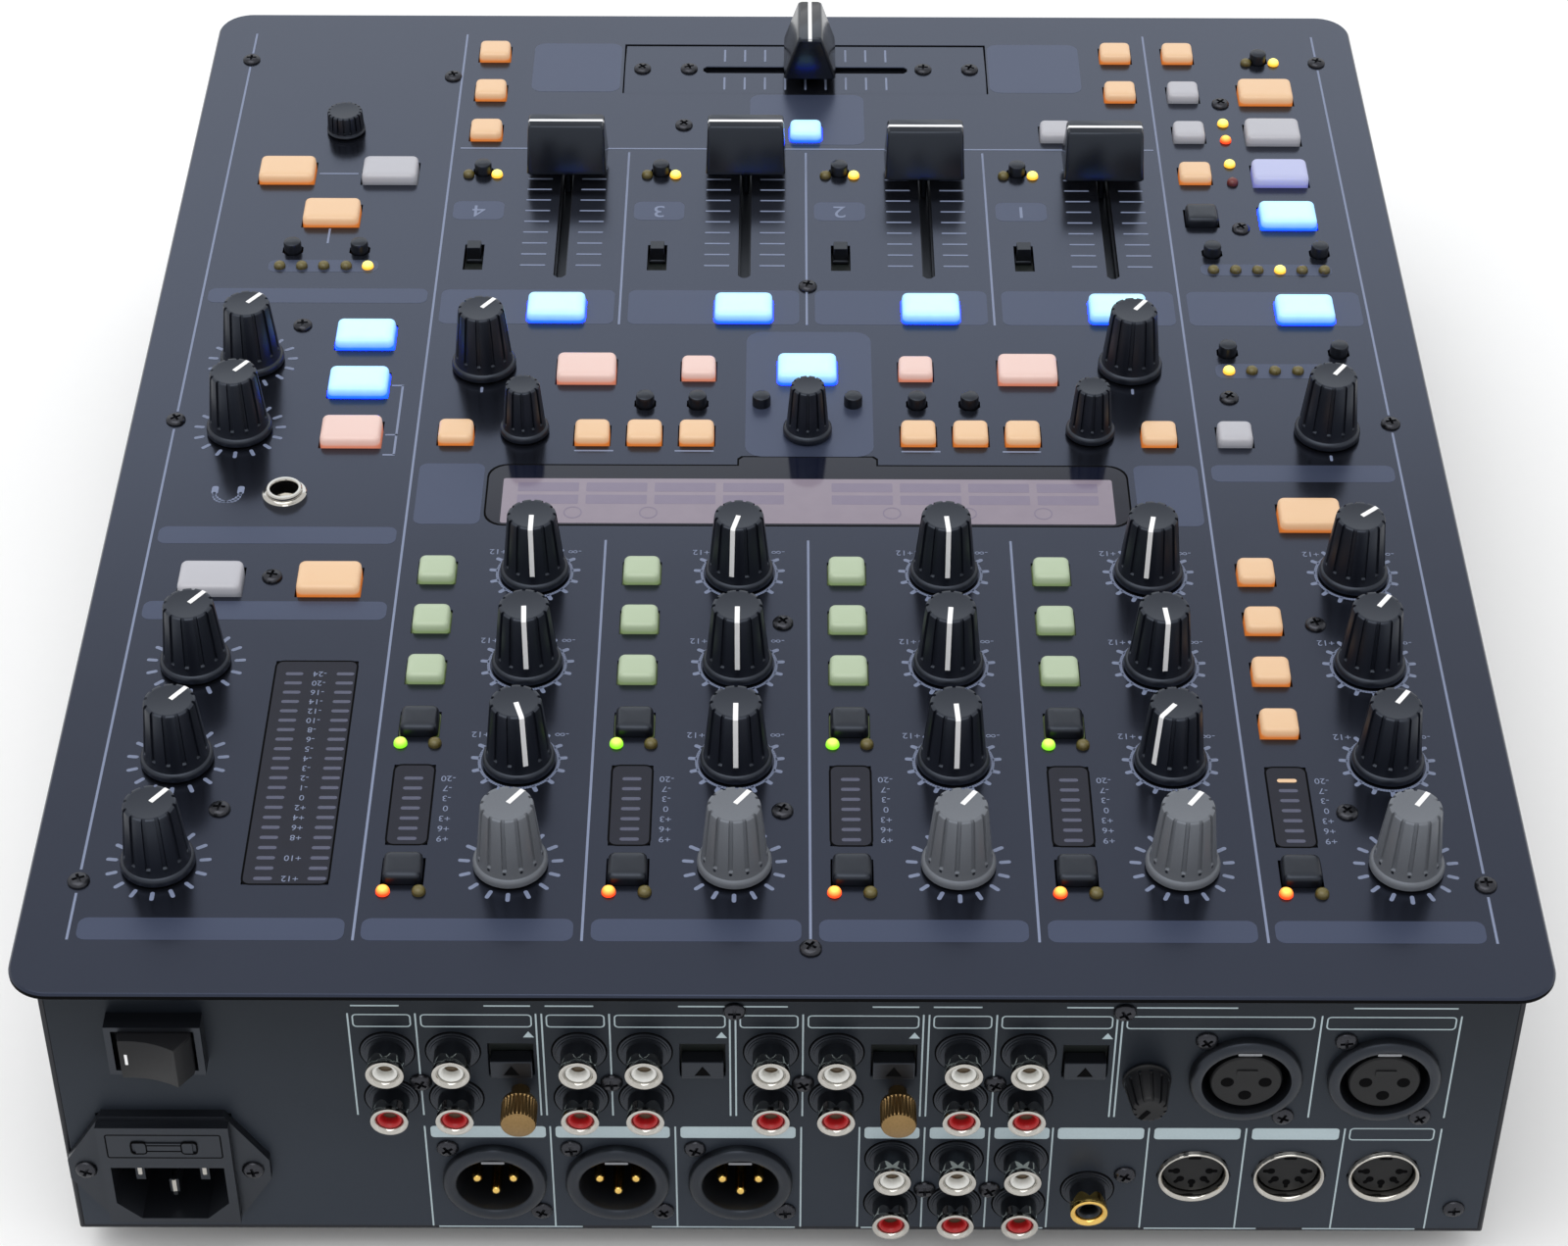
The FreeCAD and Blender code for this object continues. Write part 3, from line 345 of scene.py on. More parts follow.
def as_mesh(shape, name, place, paints, sharp=SHARP):
    mesh = bpy.data.meshes.new(name)
    mesh.from_pydata([place @ point for point in shape.points], [], shape.faces)
    for paint in paints:
        mesh.materials.append(paint)
    mesh.polygons.foreach_set("material_index", shape.paints)
    rim = mesh.attributes.new("rim", "FLOAT", "POINT")
    rim.data.foreach_set("value", shape.rims)
    mesh.polygons.foreach_set("use_smooth", [True] * len(mesh.polygons))
    mesh.set_sharp_from_angle(angle=math.radians(sharp))
    return mesh


def linked(mesh, name):
    obj = bpy.data.objects.new(name, mesh)
    bpy.context.scene.collection.objects.link(obj)
    return obj


def fitted(mesh, name, body=CONSOLE, nodes=()):
    obj = linked(mesh, name)
    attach(obj, body)
    if nodes:
        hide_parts(*nodes)


def placed(shape, name, place, paints, body=CONSOLE, nodes=(), sharp=SHARP):
    fitted(as_mesh(shape, name, place, paints, sharp), name, body, nodes)


# Copies of constructed pieces with their edges broken. A face is upright below the first share of its normal
# that points up, and square to the axes, so shaded flat, from the second share along any of them
WELD = 2e-6
FLAT_ANGLE, BEVEL_ANGLE, COPY_SHARP = 0.02, math.radians(30), math.radians(40)
UPRIGHT, SQUARE = 0.3, 0.9995


def softened(node, name, width, paint, body=CONSOLE, side=None):
    work = bmesh.new()
    work.from_mesh(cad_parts[node].data)
    bmesh.ops.remove_doubles(work, verts=work.verts, dist=WELD)
    bmesh.ops.dissolve_limit(work, angle_limit=FLAT_ANGLE, verts=work.verts, edges=work.edges)
    edges = [e for e in work.edges if len(e.link_faces) == 2 and e.calc_face_angle(0) > BEVEL_ANGLE]
    bmesh.ops.bevel(work, geom=edges, offset=width * MM, segments=2, profile=0.5,
                    affect="EDGES", clamp_overlap=True)
    bmesh.ops.triangulate(work, faces=[face for face in work.faces if len(face.verts) > 4])
    mesh = bpy.data.meshes.new(name)
    work.to_mesh(mesh)
    work.free()
    mesh.materials.append(paint)
    # A second finish goes on upright faces; on the top plate it is near-black, painted shade along the
    # panel's edge
    if side:
        mesh.materials.append(side)
    upright = [1 if side and abs(face.normal.z) < UPRIGHT else 0 for face in mesh.polygons]
    mesh.polygons.foreach_set("material_index", upright)
    if "custom_normal" in mesh.attributes:
        mesh.attributes.remove(mesh.attributes["custom_normal"])
    mesh.set_sharp_from_angle(angle=COPY_SHARP)
    curved = [max(abs(part) for part in face.normal) < SQUARE for face in mesh.polygons]
    mesh.polygons.foreach_set("use_smooth", curved)
    fitted(mesh, name, body, (node,))


def painted(node, paint):
    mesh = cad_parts[node].data
    mesh.materials.clear()
    mesh.materials.append(paint)


# Repeats: points carry the unit, and a tree sets it on each of them
def new_tree(name, inputs):
    tree = bpy.data.node_groups.new(name, "GeometryNodeTree")
    tree.interface.new_socket("Geometry", in_out="INPUT", socket_type="NodeSocketGeometry")
    for label, kind in inputs.items():
        tree.interface.new_socket(label, in_out="INPUT", socket_type="NodeSocket" + kind)
    tree.interface.new_socket("Geometry", in_out="OUTPUT", socket_type="NodeSocketGeometry")
    return tree


def close_tree(graph, repeats, material):
    whole = graph.node("GeometryNodeRealizeInstances", {0: repeats.outputs[0]})
    if material is not None:
        sockets = {"Geometry": whole.outputs[0], "Material": material}
        whole = graph.node("GeometryNodeSetMaterial", sockets)
    end = graph.node("NodeGroupOutput")
    graph.tree.links.new(whole.outputs[0], end.inputs[0])


def instances(graph, points, unit, turn=None, output=0):
    sockets = {"Points": points.outputs[0], "Instance": unit.outputs[output]}
    if turn:
        sockets["Rotation"] = turn.outputs[0]
    return graph.node("GeometryNodeInstanceOnPoints", sockets)


def unit_tree():
    tree = new_tree("unit_on_places", {"Unit": "Object"})
    graph = Graph(tree)
    start = graph.node("NodeGroupInput")
    sockets = {"Object": start.outputs["Unit"]}
    unit = graph.node("GeometryNodeObjectInfo", sockets, transform_space="ORIGINAL")
    turn = graph.node("GeometryNodeInputNamedAttribute", {"Name": "turn"}, data_type="FLOAT_VECTOR")
    spin = graph.node("FunctionNodeEulerToRotation", {0: turn.outputs["Attribute"]})
    whole = instances(graph, start, unit, spin, "Geometry")
    close_tree(graph, whole, None)
    return tree


def tick_profile(graph, width, length):
    line = graph.node("GeometryNodeCurvePrimitiveQuadrilateral", {"Width": width, "Height": length})
    narrow = width.math("MINIMUM", length)
    sockets = {"Curve": line.outputs[0], "Count": 3, "Radius": narrow * 0.48}
    corner = graph.node("GeometryNodeFilletCurve", sockets, mode="POLY")
    face = graph.node("GeometryNodeFillCurve", {"Curve": corner.outputs[0]}, mode="NGONS")
    sockets = {"Mesh": face.outputs[0], "Offset Scale": (INK_HIGH - INK_LOW) * MM}
    return graph.node("GeometryNodeExtrudeMesh", sockets)


def dial_tree():
    tree = new_tree("dial_marks", {"Count": "Int", "Step": "Float", "Radius": "Float", "Length": "Float",
                                   "Width": "Float", "Ink": "Material"})
    graph = Graph(tree)
    start = graph.node("NodeGroupInput")
    get = {key: Value(graph, start.outputs[key]) for key in ("Count", "Step", "Radius", "Length", "Width")}
    index = graph.out("GeometryNodeInputIndex")
    angle = (index - (get["Count"] - 1) * 0.5) * get["Step"]
    across = angle.math("SINE") * get["Radius"] * -1
    along = angle.math("COSINE") * get["Radius"]
    place = graph.node("ShaderNodeCombineXYZ", {0: across, 1: along})
    line = graph.node("GeometryNodeMeshLine", {"Count": get["Count"]})
    sockets = {"Geometry": line.outputs[0], "Position": place.outputs[0]}
    fan = graph.node("GeometryNodeSetPosition", sockets)
    spin = graph.node("ShaderNodeCombineXYZ", {2: angle})
    turn = graph.node("FunctionNodeEulerToRotation", {0: spin.outputs[0]})
    tick = tick_profile(graph, get["Width"], get["Length"])
    marks = instances(graph, fan, tick, turn)
    close_tree(graph, instances(graph, start, marks), start.outputs["Ink"])
    return tree


def row_tree():
    tree = new_tree("ladder_marks", {"Count": "Int", "Pitch": "Vector", "Width": "Float", "Length": "Float",
                                     "Ink": "Material"})
    graph = Graph(tree)
    start = graph.node("NodeGroupInput")
    sockets = {"Count": start.outputs["Count"], "Offset": start.outputs["Pitch"]}
    line = graph.node("GeometryNodeMeshLine", sockets, mode="OFFSET")
    tick = tick_profile(graph, Value(graph, start.outputs["Width"]), Value(graph, start.outputs["Length"]))
    row = instances(graph, line, tick)
    close_tree(graph, instances(graph, start, row), start.outputs["Ink"])
    return tree


UNIT_TREE, DIAL_TREE, ROW_TREE = unit_tree(), dial_tree(), row_tree()


def grown(tree, name, points, values, turns=None):
    mesh = bpy.data.meshes.new(name)
    mesh.from_pydata(points, [], [])
    turn = mesh.attributes.new("turn", "FLOAT_VECTOR", "POINT")
    for k in range(len(points)):
        turn.data[k].vector = turns[k] if turns else (0, 0, 0)
    carrier = linked(mesh, name + "_places")
    modifier = carrier.modifiers.new("repeat", "NODES")
    modifier.node_group = tree
    for item in tree.interface.items_tree:
        if item.item_type == "SOCKET" and item.in_out == "INPUT" and item.name in values:
            modifier[item.identifier] = values[item.name]
    carrier.update_tag()
    depsgraph = bpy.context.evaluated_depsgraph_get()
    depsgraph.update()
    made = bpy.data.meshes.new_from_object(carrier.evaluated_get(depsgraph), depsgraph=depsgraph)
    made.name = name
    bpy.data.objects.remove(carrier)
    return made


def repeated(name, shape, paints, spots, place, body=CONSOLE, nodes=(), spins=None):
    turned = Matrix(place.to_3x3()).to_4x4()
    unit = linked(as_mesh(shape, name + "_unit", turned, paints), name + "_unit")
    axis = (turned.to_3x3() @ Vector((0, 0, 1))).normalized()
    turns = [Matrix.Rotation(spin, 3, axis).to_euler() for spin in spins] if spins else None
    mesh = grown(UNIT_TREE, name, [place @ Vector(spot).to_3d() for spot in spots], {"Unit": unit}, turns)
    bpy.data.objects.remove(unit)
    fitted(mesh, name, body, nodes)


def marks(tree, name, places, z, width, length, ink, **layout):
    values = {"Width": width * MM, "Length": length * MM, "Ink": ink, **layout}
    fitted(grown(tree, name, [TOP @ Vector((x, y, z)) for x, y in places], values), name)


def dial_marks(name, centres, count, step, radius, length, width, ink):
    marks(DIAL_TREE, name, centres, INK_LOW, width, length, ink, Count=count, Step=math.radians(step),
          Radius=radius * MM)


def ladder(name, starts, count, pitch, width, length, ink, z=INK_LOW):
    marks(ROW_TREE, name, starts, z, width, length, ink, Count=count, Pitch=Vector((*pitch, 0)) * MM)


# Printing: thin closed slabs and figures
def slab(shape, x0, x1, y0, y1, corner=0.1, low=INK_LOW, high=INK_HIGH):
    w, d = abs(x1 - x0), abs(y1 - y0)
    corner = min(corner, w / 2.05, d / 2.05)
    block(shape, w, d, corner, (low, high), (x0 + x1) / 2, (y0 + y1) / 2)


def upright(shape, x, y0, y1, half):
    slab(shape, x - half, x + half, y0, y1)


def level(shape, x0, x1, y, half):
    slab(shape, x0, x1, y - half, y + half)


def outline(shape, x0, x1, y0, y1, width, corner=0.8, low=INK_LOW, high=INK_HIGH, paint=0):
    w, d, half = x1 - x0, y1 - y0, width / 2
    x, y = (x0 + x1) / 2, (y0 + y1) / 2
    steps = ((half, low), (half, high), (-half, high), (-half, low))
    shape.tube([round_box(w + 2 * grow, d + 2 * grow, corner + grow, z, x, y) for grow, z in steps], paint)


figure_cache = {}


def figure(text):
    if text not in figure_cache:
        curve = bpy.data.curves.new("figure", "FONT")
        curve.body, curve.size, curve.resolution_u = text, 1.0, 3
        curve.align_x, curve.align_y, curve.extrude = "CENTER", "CENTER", 0.02
        obj = linked(curve, "figure")
        depsgraph = bpy.context.evaluated_depsgraph_get()
        mesh = bpy.data.meshes.new_from_object(obj.evaluated_get(depsgraph), depsgraph=depsgraph)
        shape = Shape()
        shape.points = [vertex.co.copy() for vertex in mesh.vertices]
        shape.faces = [tuple(face.vertices) for face in mesh.polygons]
        shape.paints, shape.rims = [0] * len(shape.faces), [0.0] * len(shape.points)
        bpy.data.objects.remove(obj)
        figure_cache[text] = shape
    return figure_cache[text]


# Lettering reads from the front edge, so it stands upright for the player
def write(shape, text, x, y, size, z=0.0):
    place = Matrix.Translation((x, y, z + INK_LOW + 0.02)) @ Matrix.Diagonal((size, size, 1, 1))
    shape.add(figure(text), place)


# Rotary controls: narrow grooves down a tapering body, each ending above the flared skirt in a dark disc,
# painted shade standing in for a dimple
GROOVE_EDGES = (-15.0, -9.0, -4.7, -3.6, 0.0, 3.6, 4.7, 9.0)


def fluted(form, grooves, depth, pointer_angle):
    skirt, waist, top, skirt_h, height = form
    pitch = 360 / grooves
    shape = Shape()

    def ring(radius, z, cut):
        points = []
        for k in range(grooves):
            for edge in GROOVE_EDGES:
                a = math.radians(90 + k * pitch + edge * pitch / 30)
                r = radius - (cut if abs(edge) < 4 else 0.0)
                points.append(polar(r, a, z))
        return points

    def side(z):
        return waist + (top - waist) * (z - skirt_h) / (height - skirt_h)

    rise = skirt_h + 0.14 * height
    flare = skirt_h + 0.05 * height
    edge = side(height)
    rings = ((skirt - 0.3, 0.3, 0), (skirt, 0.65, 0), (skirt, skirt_h * 0.62, 0),
             (skirt - 0.1, skirt_h * 0.84, 0), (skirt - 0.38, skirt_h * 1.02, 0),
             (side(flare) + 0.14, skirt_h * 1.1, 0), (side(flare), flare, 0),
             (side(rise - 0.25), rise - 0.25, 0), (side(rise), rise, depth),
             (side(height - 0.6), height - 0.6, depth), (edge - 0.1, height - 0.18, depth),
             (edge - 0.4, height, depth * 0.8), (edge - 0.95, height, 0), (edge - 1.3, height - 0.06, 0))
    shape.loft([ring(*row) for row in rings])
    # Painted shade: a small dark disc at each groove's end stands for the dimple's hollow
    dimple_shade = Shape()
    dimple_shade.loft([circle(0.36, z, 8) for z in (-0.1, 0.04)], 2)
    low = flare + 0.5 * (rise - flare)
    for k in range(grooves):
        turn = Matrix.Rotation(math.radians(k * pitch), 4, "Z") @ Matrix.Translation((0, side(low), low))
        shape.add(dimple_shade, turn @ Matrix.Rotation(-math.pi / 2, 4, "X"))
    if pointer_angle is not None:
        half, lift = 0.55, 0.05
        path = [(0.4, height + lift), (edge - 0.35, height + lift), (edge + lift, height - 0.3),
                (side(rise) + lift, rise), (side(rise) - 0.6, rise), (edge - 0.6, height - 0.6),
                (0.4, height - 0.3)]
        shape.loft([[(x, along, z) for along, z in path] for x in (half, -half)], 1)
    turned = Shape()
    turned.add(shape, Matrix.Rotation(math.radians(pointer_angle or 0.0), 4, "Z"))
    return turned


# Radius of skirt, waist and top, then height of the skirt and of the whole
KNOB = (8.0, 7.2, 5.65, 2.2, 17.7)
ENCODER = (6.0, 5.2, 4.15, 2.0, 14.3)
TRIM = (5.2, 5.0, 4.7, 1.2, 6.5)
REAR_TRIM = (5.2, 5.0, 3.6, 1.2, 9.0)


def at(x, y):
    return Matrix.Translation((x, y, 0))


def middle_of(node, place=TOP):
    low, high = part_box(node)
    return place.inverted() @ ((low + high) / 2)


def fit_knobs():
    rows = {"knob": [], "equal": [], "mix": []}
    for node in sorted(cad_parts):
        if not node.endswith(("_knob", "_encoder")):
            continue
        rest = POINTER_REST.get(node, STOP)
        paint, form, grooves = KNOB_BLACK, KNOB, 12
        if node == "mic_level_knob":
            spot, face = middle_of(node, REAR), REAR
            form, paint = REAR_TRIM, ROCKER_BLACK
        else:
            spot, face = middle_of(node), TOP
        if node.endswith("_encoder"):
            form, rest = ENCODER, None
        elif node == "crossfader_curve_knob":
            form, grooves, rest = TRIM, 18, None
        elif node.endswith("_gain_knob"):
            paint = KNOB_GREY
        shape = fluted(form, grooves, 0.5, rest)
        shape.add(lathe([(2.4, -2.0), (2.4, 0.6)], 16))
        pointer = BLACK_AND_SHADE if node == "mic_level_knob" else POINTER
        place = face @ at(spot.x, spot.y)
        # The third finish darkens the discs at the groove ends: painted shade for the dimples
        placed(shape, node + "_cap", place, [paint, pointer, DARK], node, (node,))
        if form is KNOB:
            kind = "mix" if node in ("fx1_mix_knob", "fx2_mix_knob", "sampler_mix_knob") else "knob"
            if node.split("_")[1] in ("high", "mid", "low"):
                kind = "equal"
            rows[kind].append((spot.x, spot.y))
    dial_marks("level_marks", rows["knob"], 13, 24, 10.0, 2.6, 0.95, INK)
    dial_marks("tone_marks", rows["equal"], 13, 24, 9.7, 2.0, 1.0, INK)
    dial_marks("tone_rings", rows["equal"], 73, 4.0, 8.7, 0.7, 0.75, INK)
    dial_marks("mix_marks", rows["mix"], 1, 24, 9.9, 2.2, 0.7, INK)


# Push buttons: the lower left keys stand in two columns of one pitch
KEY_Y, KEY_STEP = -90.3, 20.05


def square_colour(x, y):
    if y > 150:
        return "black"
    if y > 50:
        first = x < LINES[1]
        return "orange" if first else ("black" if y > 100 else "green")
    if y > 0:
        return "grey" if x < LINES[1] else "orange"
    if y > -30:
        return "pink"
    if x < LINES[1]:
        return ("black", "orange", "grey", "grey", "orange")[min(4, round((KEY_Y - y) / KEY_STEP))]
    away = abs(x - CONSOLE_X)
    return "blue" if away < 5 else ("orange" if away > 80 else "grey")


def wide_colour(x, y):
    if abs(y + 48) < 1.5:
        return "blue"
    if x < -110:
        if y > 0:
            return "orange"
        return ("blue", "lavender", "grey", "orange")[min(3, round((KEY_Y - y) / KEY_STEP))]
    if x > 90:
        if y > 50:
            return "orange" if x < 120 else "grey"
        if y > -50:
            return "pink" if y > -5 else "blue"
        if y > -100:
            return "orange"
        return "grey" if x < 120 else "orange"
    return "blue" if abs(x - CONSOLE_X) < 5 else "pink"


def islands(node):
    work = bmesh.new()
    work.from_mesh(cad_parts[node].data)
    bmesh.ops.remove_doubles(work, verts=work.verts, dist=WELD)
    seen, found = set(), []
    back = TOP.inverted()
    for first in work.verts:
        if first in seen:
            continue
        group, queue = [], [first]
        seen.add(first)
        while queue:
            vertex = queue.pop()
            group.append(back @ vertex.co)
            for edge in vertex.link_edges:
                other = edge.other_vert(vertex)
                if other not in seen:
                    seen.add(other)
                    queue.append(other)
        found.append([(min(p[k] for p in group) + max(p[k] for p in group)) / 2 for k in range(2)])
    work.free()
    return found


# Caps stand clear of their openings, and light leaks round some of them
CAP_GAP, LEAK_GAP = 0.04, 0.12


def cap_shape(w, d, corner, proud):
    shape = Shape()
    steps = ((0.0, -2.4, 1.0), (0.0, 0.35, 1.0), (0.02, 0.9, 0.62), (0.06, proud - 1.2, 0.42),
             (0.14, proud - 0.7, 0.3), (0.36, proud - 0.34, 0.22), (0.75, proud - 0.1, 0.12),
             (1.3, proud, 0.04), (2.4, proud + 0.06, 0.0))
    w, d = w - CAP_GAP, d - CAP_GAP
    rings = [round_box(w - 2 * s, d - 2 * s, max(corner - s * 0.6, 0.3), z) for s, z, r in steps]
    shape.loft(rings, 0, [r for s, z, r in steps])
    return shape


def fit_buttons():
    names = ["black"] + sorted(LIT)
    paints = [BLACK_CAP] + [LIT[name] for name in names[1:]]
    leaks = Shape()
    for node, colour_at, w, d, corner, high in (("square_buttons", square_colour, 8.5, 8.0, 1.4, 2.6),
                                                ("wide_buttons", wide_colour, 14.7, 10.3, 1.5, 2.8)):
        shape = cap_shape(w, d, corner, high)
        bank = Shape()
        for x, y in islands(node):
            colour = colour_at(x, y)
            bank.add(shape, at(x, y), names.index(colour))
            if colour == "blue":
                half_w, half_d = w / 2 + LEAK_GAP, d / 2 + LEAK_GAP
                outline(leaks, x - half_w, x + half_w, y - half_d, y + half_d, 0.2, 1.5, -0.3, LEAK_GAP, 1)
            mode = node == "square_buttons" and x > LINES[1] and 100 < y < 120
            if colour == "green" or mode:
                rings = [round_box(9.0, 8.2, 1.0, z, x, y) for z in (-0.9, -0.35)]
                leaks.loft(rings + [round_box(8.5, 7.7, 1.0, -0.35, x, y)], 0, None, True, False)
        placed(bank, node + "_caps", TOP, paints, node, (node,), CAP_SHARP)
    placed(leaks, "button_light", TOP, [LEAK, BLUE_LEAK])
    stub = lathe([(2.28, -2.4), (2.28, 2.2), (2.1, 2.7), (1.6, 2.95), (0.6, 3.02)], 24)
    spots = islands("round_buttons")
    repeated("round_button_caps", stub, [BLACK_CAP], spots, TOP, "round_buttons", ("round_buttons",))


# Faders: width, depth and height of the cap's rings, and the white line over its top
FADER_STEPS = ((20.5, 13.6, 3.0), (21.2, 14.3, 3.5), (21.0, 13.9, 4.6), (20.2, 7.0, 14.8), (19.9, 6.5, 15.5),
               (19.3, 5.9, 15.8))
FADER_LINE = [(-10.45, 5.6), (-10.02, 15.4), (-9.65, 15.86), (9.65, 15.86), (10.02, 15.4), (10.45, 5.6),
              (9.6, 5.6), (9.2, 15.0), (-9.2, 15.0), (-9.6, 5.6)]
MARK_SIDE, MARK_Y, MARK_STEP, CROSS_STEP, MARK_WIDTH = 7.2, -68.0, 5.0, 5.62, 0.55


def fit_faders():
    for node in ("ch1_fader", "ch2_fader", "ch3_fader", "ch4_fader", "crossfader"):
        spot = middle_of(node)
        shape = Shape()
        shape.loft([round_box(w, d, 0.9, z) for w, d, z in FADER_STEPS])
        block(shape, 1.6, 5.0, 0.2, (-5.3, 3.2))
        line = [[(x, side * 0.5, z) for x, z in FADER_LINE] for side in (1, -1)]
        shape.loft(line, 1)
        turn = Matrix.Rotation(math.pi / 2 if node == "crossfader" else 0.0, 4, "Z")
        place = TOP @ at(spot.x, spot.y) @ turn
        placed(shape, node + "_cap", place, [CAP_BLACK, POINTER], node, (node,))
    for side in (-1, 1):
        starts = [(x + side * MARK_SIDE, MARK_Y) for x in KNOB_X[1:]]
        name = "left" if side < 0 else "right"
        ladder("fader_marks_" + name, starts, 10, (0, -MARK_STEP), 6.6, MARK_WIDTH, INK)
    cross = [(CONSOLE_X - 22.5, y) for y in (-156.2, -170.6)]
    ladder("crossfader_marks", cross, 9, (CROSS_STEP, 0), MARK_WIDTH, 6.4, INK, INK_LOW - PLATE_SINK)


# Screws
def screw_head():
    shape = Shape()
    arm, half = 1.35, 0.34
    mid = (arm + half) / 2
    corners = [(arm, 0), (arm, half), (mid, half), (half, half), (half, mid), (half, arm)]
    cross = []
    for quarter in range(4):
        a = math.pi / 2 * quarter
        cross += [(x * math.cos(a) - y * math.sin(a), x * math.sin(a) + y * math.cos(a)) for x, y in corners]
    angles = [math.atan2(y, x) for x, y in cross]

    def round_ring(radius, z):
        return [polar(radius, a, z) for a in angles]

    rings = [round_ring(2.4, 0.02), round_ring(2.4, 0.35), round_ring(2.1, 0.75), round_ring(1.65, 1.0)]
    rings += [[(x, y, 1.06) for x, y in cross], [(x * 0.8, y * 0.8, 0.25) for x, y in cross]]
    shape.loft(rings)
    return shape


PANEL_SCREWS = [
    (-149, 158.8), (149, 158.8), (-122.2, 136.7), (0, 136.7), (121.8, 136.7), (-122.2, 74.3), (0, 74.3),
    (-5.9, 178), (118.9, 58.3), (-149, -1.5), (149, -1.5), (-110.3, -11.7), (-6.2, -58.7), (121.9, -41),
    (-120.2, -85.4), (-120.2, -145.8), (-149, -167), (149, -167), (92, -158.7), (27.3, -134.3)]
PLATE_SCREWS = [(-51.8, -163.5), (-38.8, -163.5), (26.5, -163.5), (39.5, -163.5)]
REAR_SCREWS = [(-9.9, -10), (71.3, -10), (-76.4, -32), (-36, -32), (4.5, -32), (45.2, -32), (31.2, -66),
               (45.3, -66), (74.5, -61), (147.2, -72)]
XLR_OUT = [(-62.2, -63.2), (-35.55, -63.2), (-8.9, -63.2)]
XLR_IN = [(98.0, -29.5), (127.2, -29.5)]
XLR_OUT_SCREWS = ((-9.75, 10.2), (9.75, -10.2))
XLR_IN_SCREWS = ((-9.0, 11.0), (9.0, -12.4))
MOUTH_U, MOUTH_V, DRAWER_V = -132.1, -63.6, -48.7


# Each head is turned a little further than the last
PANEL_SPIN, REAR_SPIN = 0.37, 0.53


def fit_screws():
    spots = PANEL_SCREWS + [(x, y, -PLATE_SINK) for x, y in PLATE_SCREWS]
    spins = [PANEL_SPIN * k for k in range(len(spots))]
    repeated("panel_screws", screw_head(), [SCREW], spots, TOP, spins=spins)
    rear = list(REAR_SCREWS)
    for sockets, steps in ((XLR_OUT, XLR_OUT_SCREWS), (XLR_IN, XLR_IN_SCREWS)):
        rear += [(u + across, v + up) for u, v in sockets for across, up in steps]
    rear += [(MOUTH_U + across, -58, 2.0) for across in (-18, 18)]
    spins = [REAR_SPIN * k for k in range(len(rear))]
    repeated("rear_screws", screw_head(), [SCREW], rear, REAR, spins=spins)


# Lamps: across, along and colour of those outside the channels; the channels' own stand beside their buttons
LAMP_SIDE, LAMP_STEP = 3.8, 5.74
LAMP_ROWS = [
    (-22.8, [(-140 + LAMP_STEP * k, "gold" if k == 5 else "amber") for k in range(6)]),
    (-66.4, [(-140 + LAMP_STEP * k, "gold" if k == 2 else "amber") for k in range(6)]),
    (-107, [(-120, "dim")]),
    (-115.7, [(-120, "gold")]),
    (-135.7, [(-120, "gold")]),
    (-127.5, [(-120, "hot")]),
    (-109.7, [(x, "gold") for x in (-66.6, -18.7, 29.0, 76.8)]),
    (-109.7, [(x, "amber") for x in (-58.8, -11.1, 36.6, 84.4)]),
    (-166.8, [(-136.9, "gold"), (-129.2, "amber")]),
    (-67, [(107.7, "gold")] + [(x, "amber") for x in (113.3, 119.1, 124.8, 130.5)]),
]


def fit_lamps():
    profile = [(1.55, -0.3), (1.5, 0.5), (1.3, 1.0), (0.85, 1.38), (0.3, 1.5)]
    dome = lathe(profile, 20, rims=[1.0, 0.9, 0.6, 0.2, 0.0])
    spots = {name: [] for name in LAMPS}
    for lit, y, columns in (("hot", 161.7, BUTTON_X), ("lime", 115.5, BUTTON_X[1:])):
        spots[lit] += [(x + LAMP_SIDE, y) for x in columns]
        spots["amber"] += [(x - LAMP_SIDE, y) for x in columns]
    for y, row in LAMP_ROWS:
        for x, name in row:
            spots[name].append((x, y))
    for name, places in spots.items():
        repeated("lamps_" + name, dome, [LAMPS[name]], places, TOP)


# Windows
WINDOW_LOW, WINDOW_CORNER, RIM_FACE = -0.1, 1.5, 0.02
RIM_STEPS = ((0.9, WINDOW_LOW), (0.9, RIM_FACE), (0.0, RIM_FACE), (0.0, WINDOW_LOW))
METER_Y, MAIN_METER_X, MAIN_METER_Y = 134.8, 105.4, 123.7
DISPLAY_Y, DISPLAY_CORNER = 27.2, 4.8
SCREEN_FACE = WINDOW_FACE + 0.05
CELL_W, CELL_D = 14.6, 3.4
SEGMENT_Y, SEGMENT_STEP = 145.5, 3.15
MAIN_SEGMENT_Y, MAIN_SEGMENT_STEP = 157.8, 3.12


def display_path(grow, z):
    half, depth, notch = 76.7 + grow, 11.35 + grow, 16.6 + grow
    right = [(notch - 1.0, -depth - 3.4), (notch, -depth - 2.4), (notch, -depth)]
    for turn, side in ((-90, -1), (0, 1)):
        for k in range(7):
            a = math.radians(turn + 15 * k)
            right.append((half + DISPLAY_CORNER * (math.cos(a) - 1),
                          side * (depth - DISPLAY_CORNER) + DISPLAY_CORNER * math.sin(a)))
    left = [(-u, v) for u, v in reversed(right)]
    return [(CONSOLE_X + u, DISPLAY_Y + v, z) for u, v in right + left]


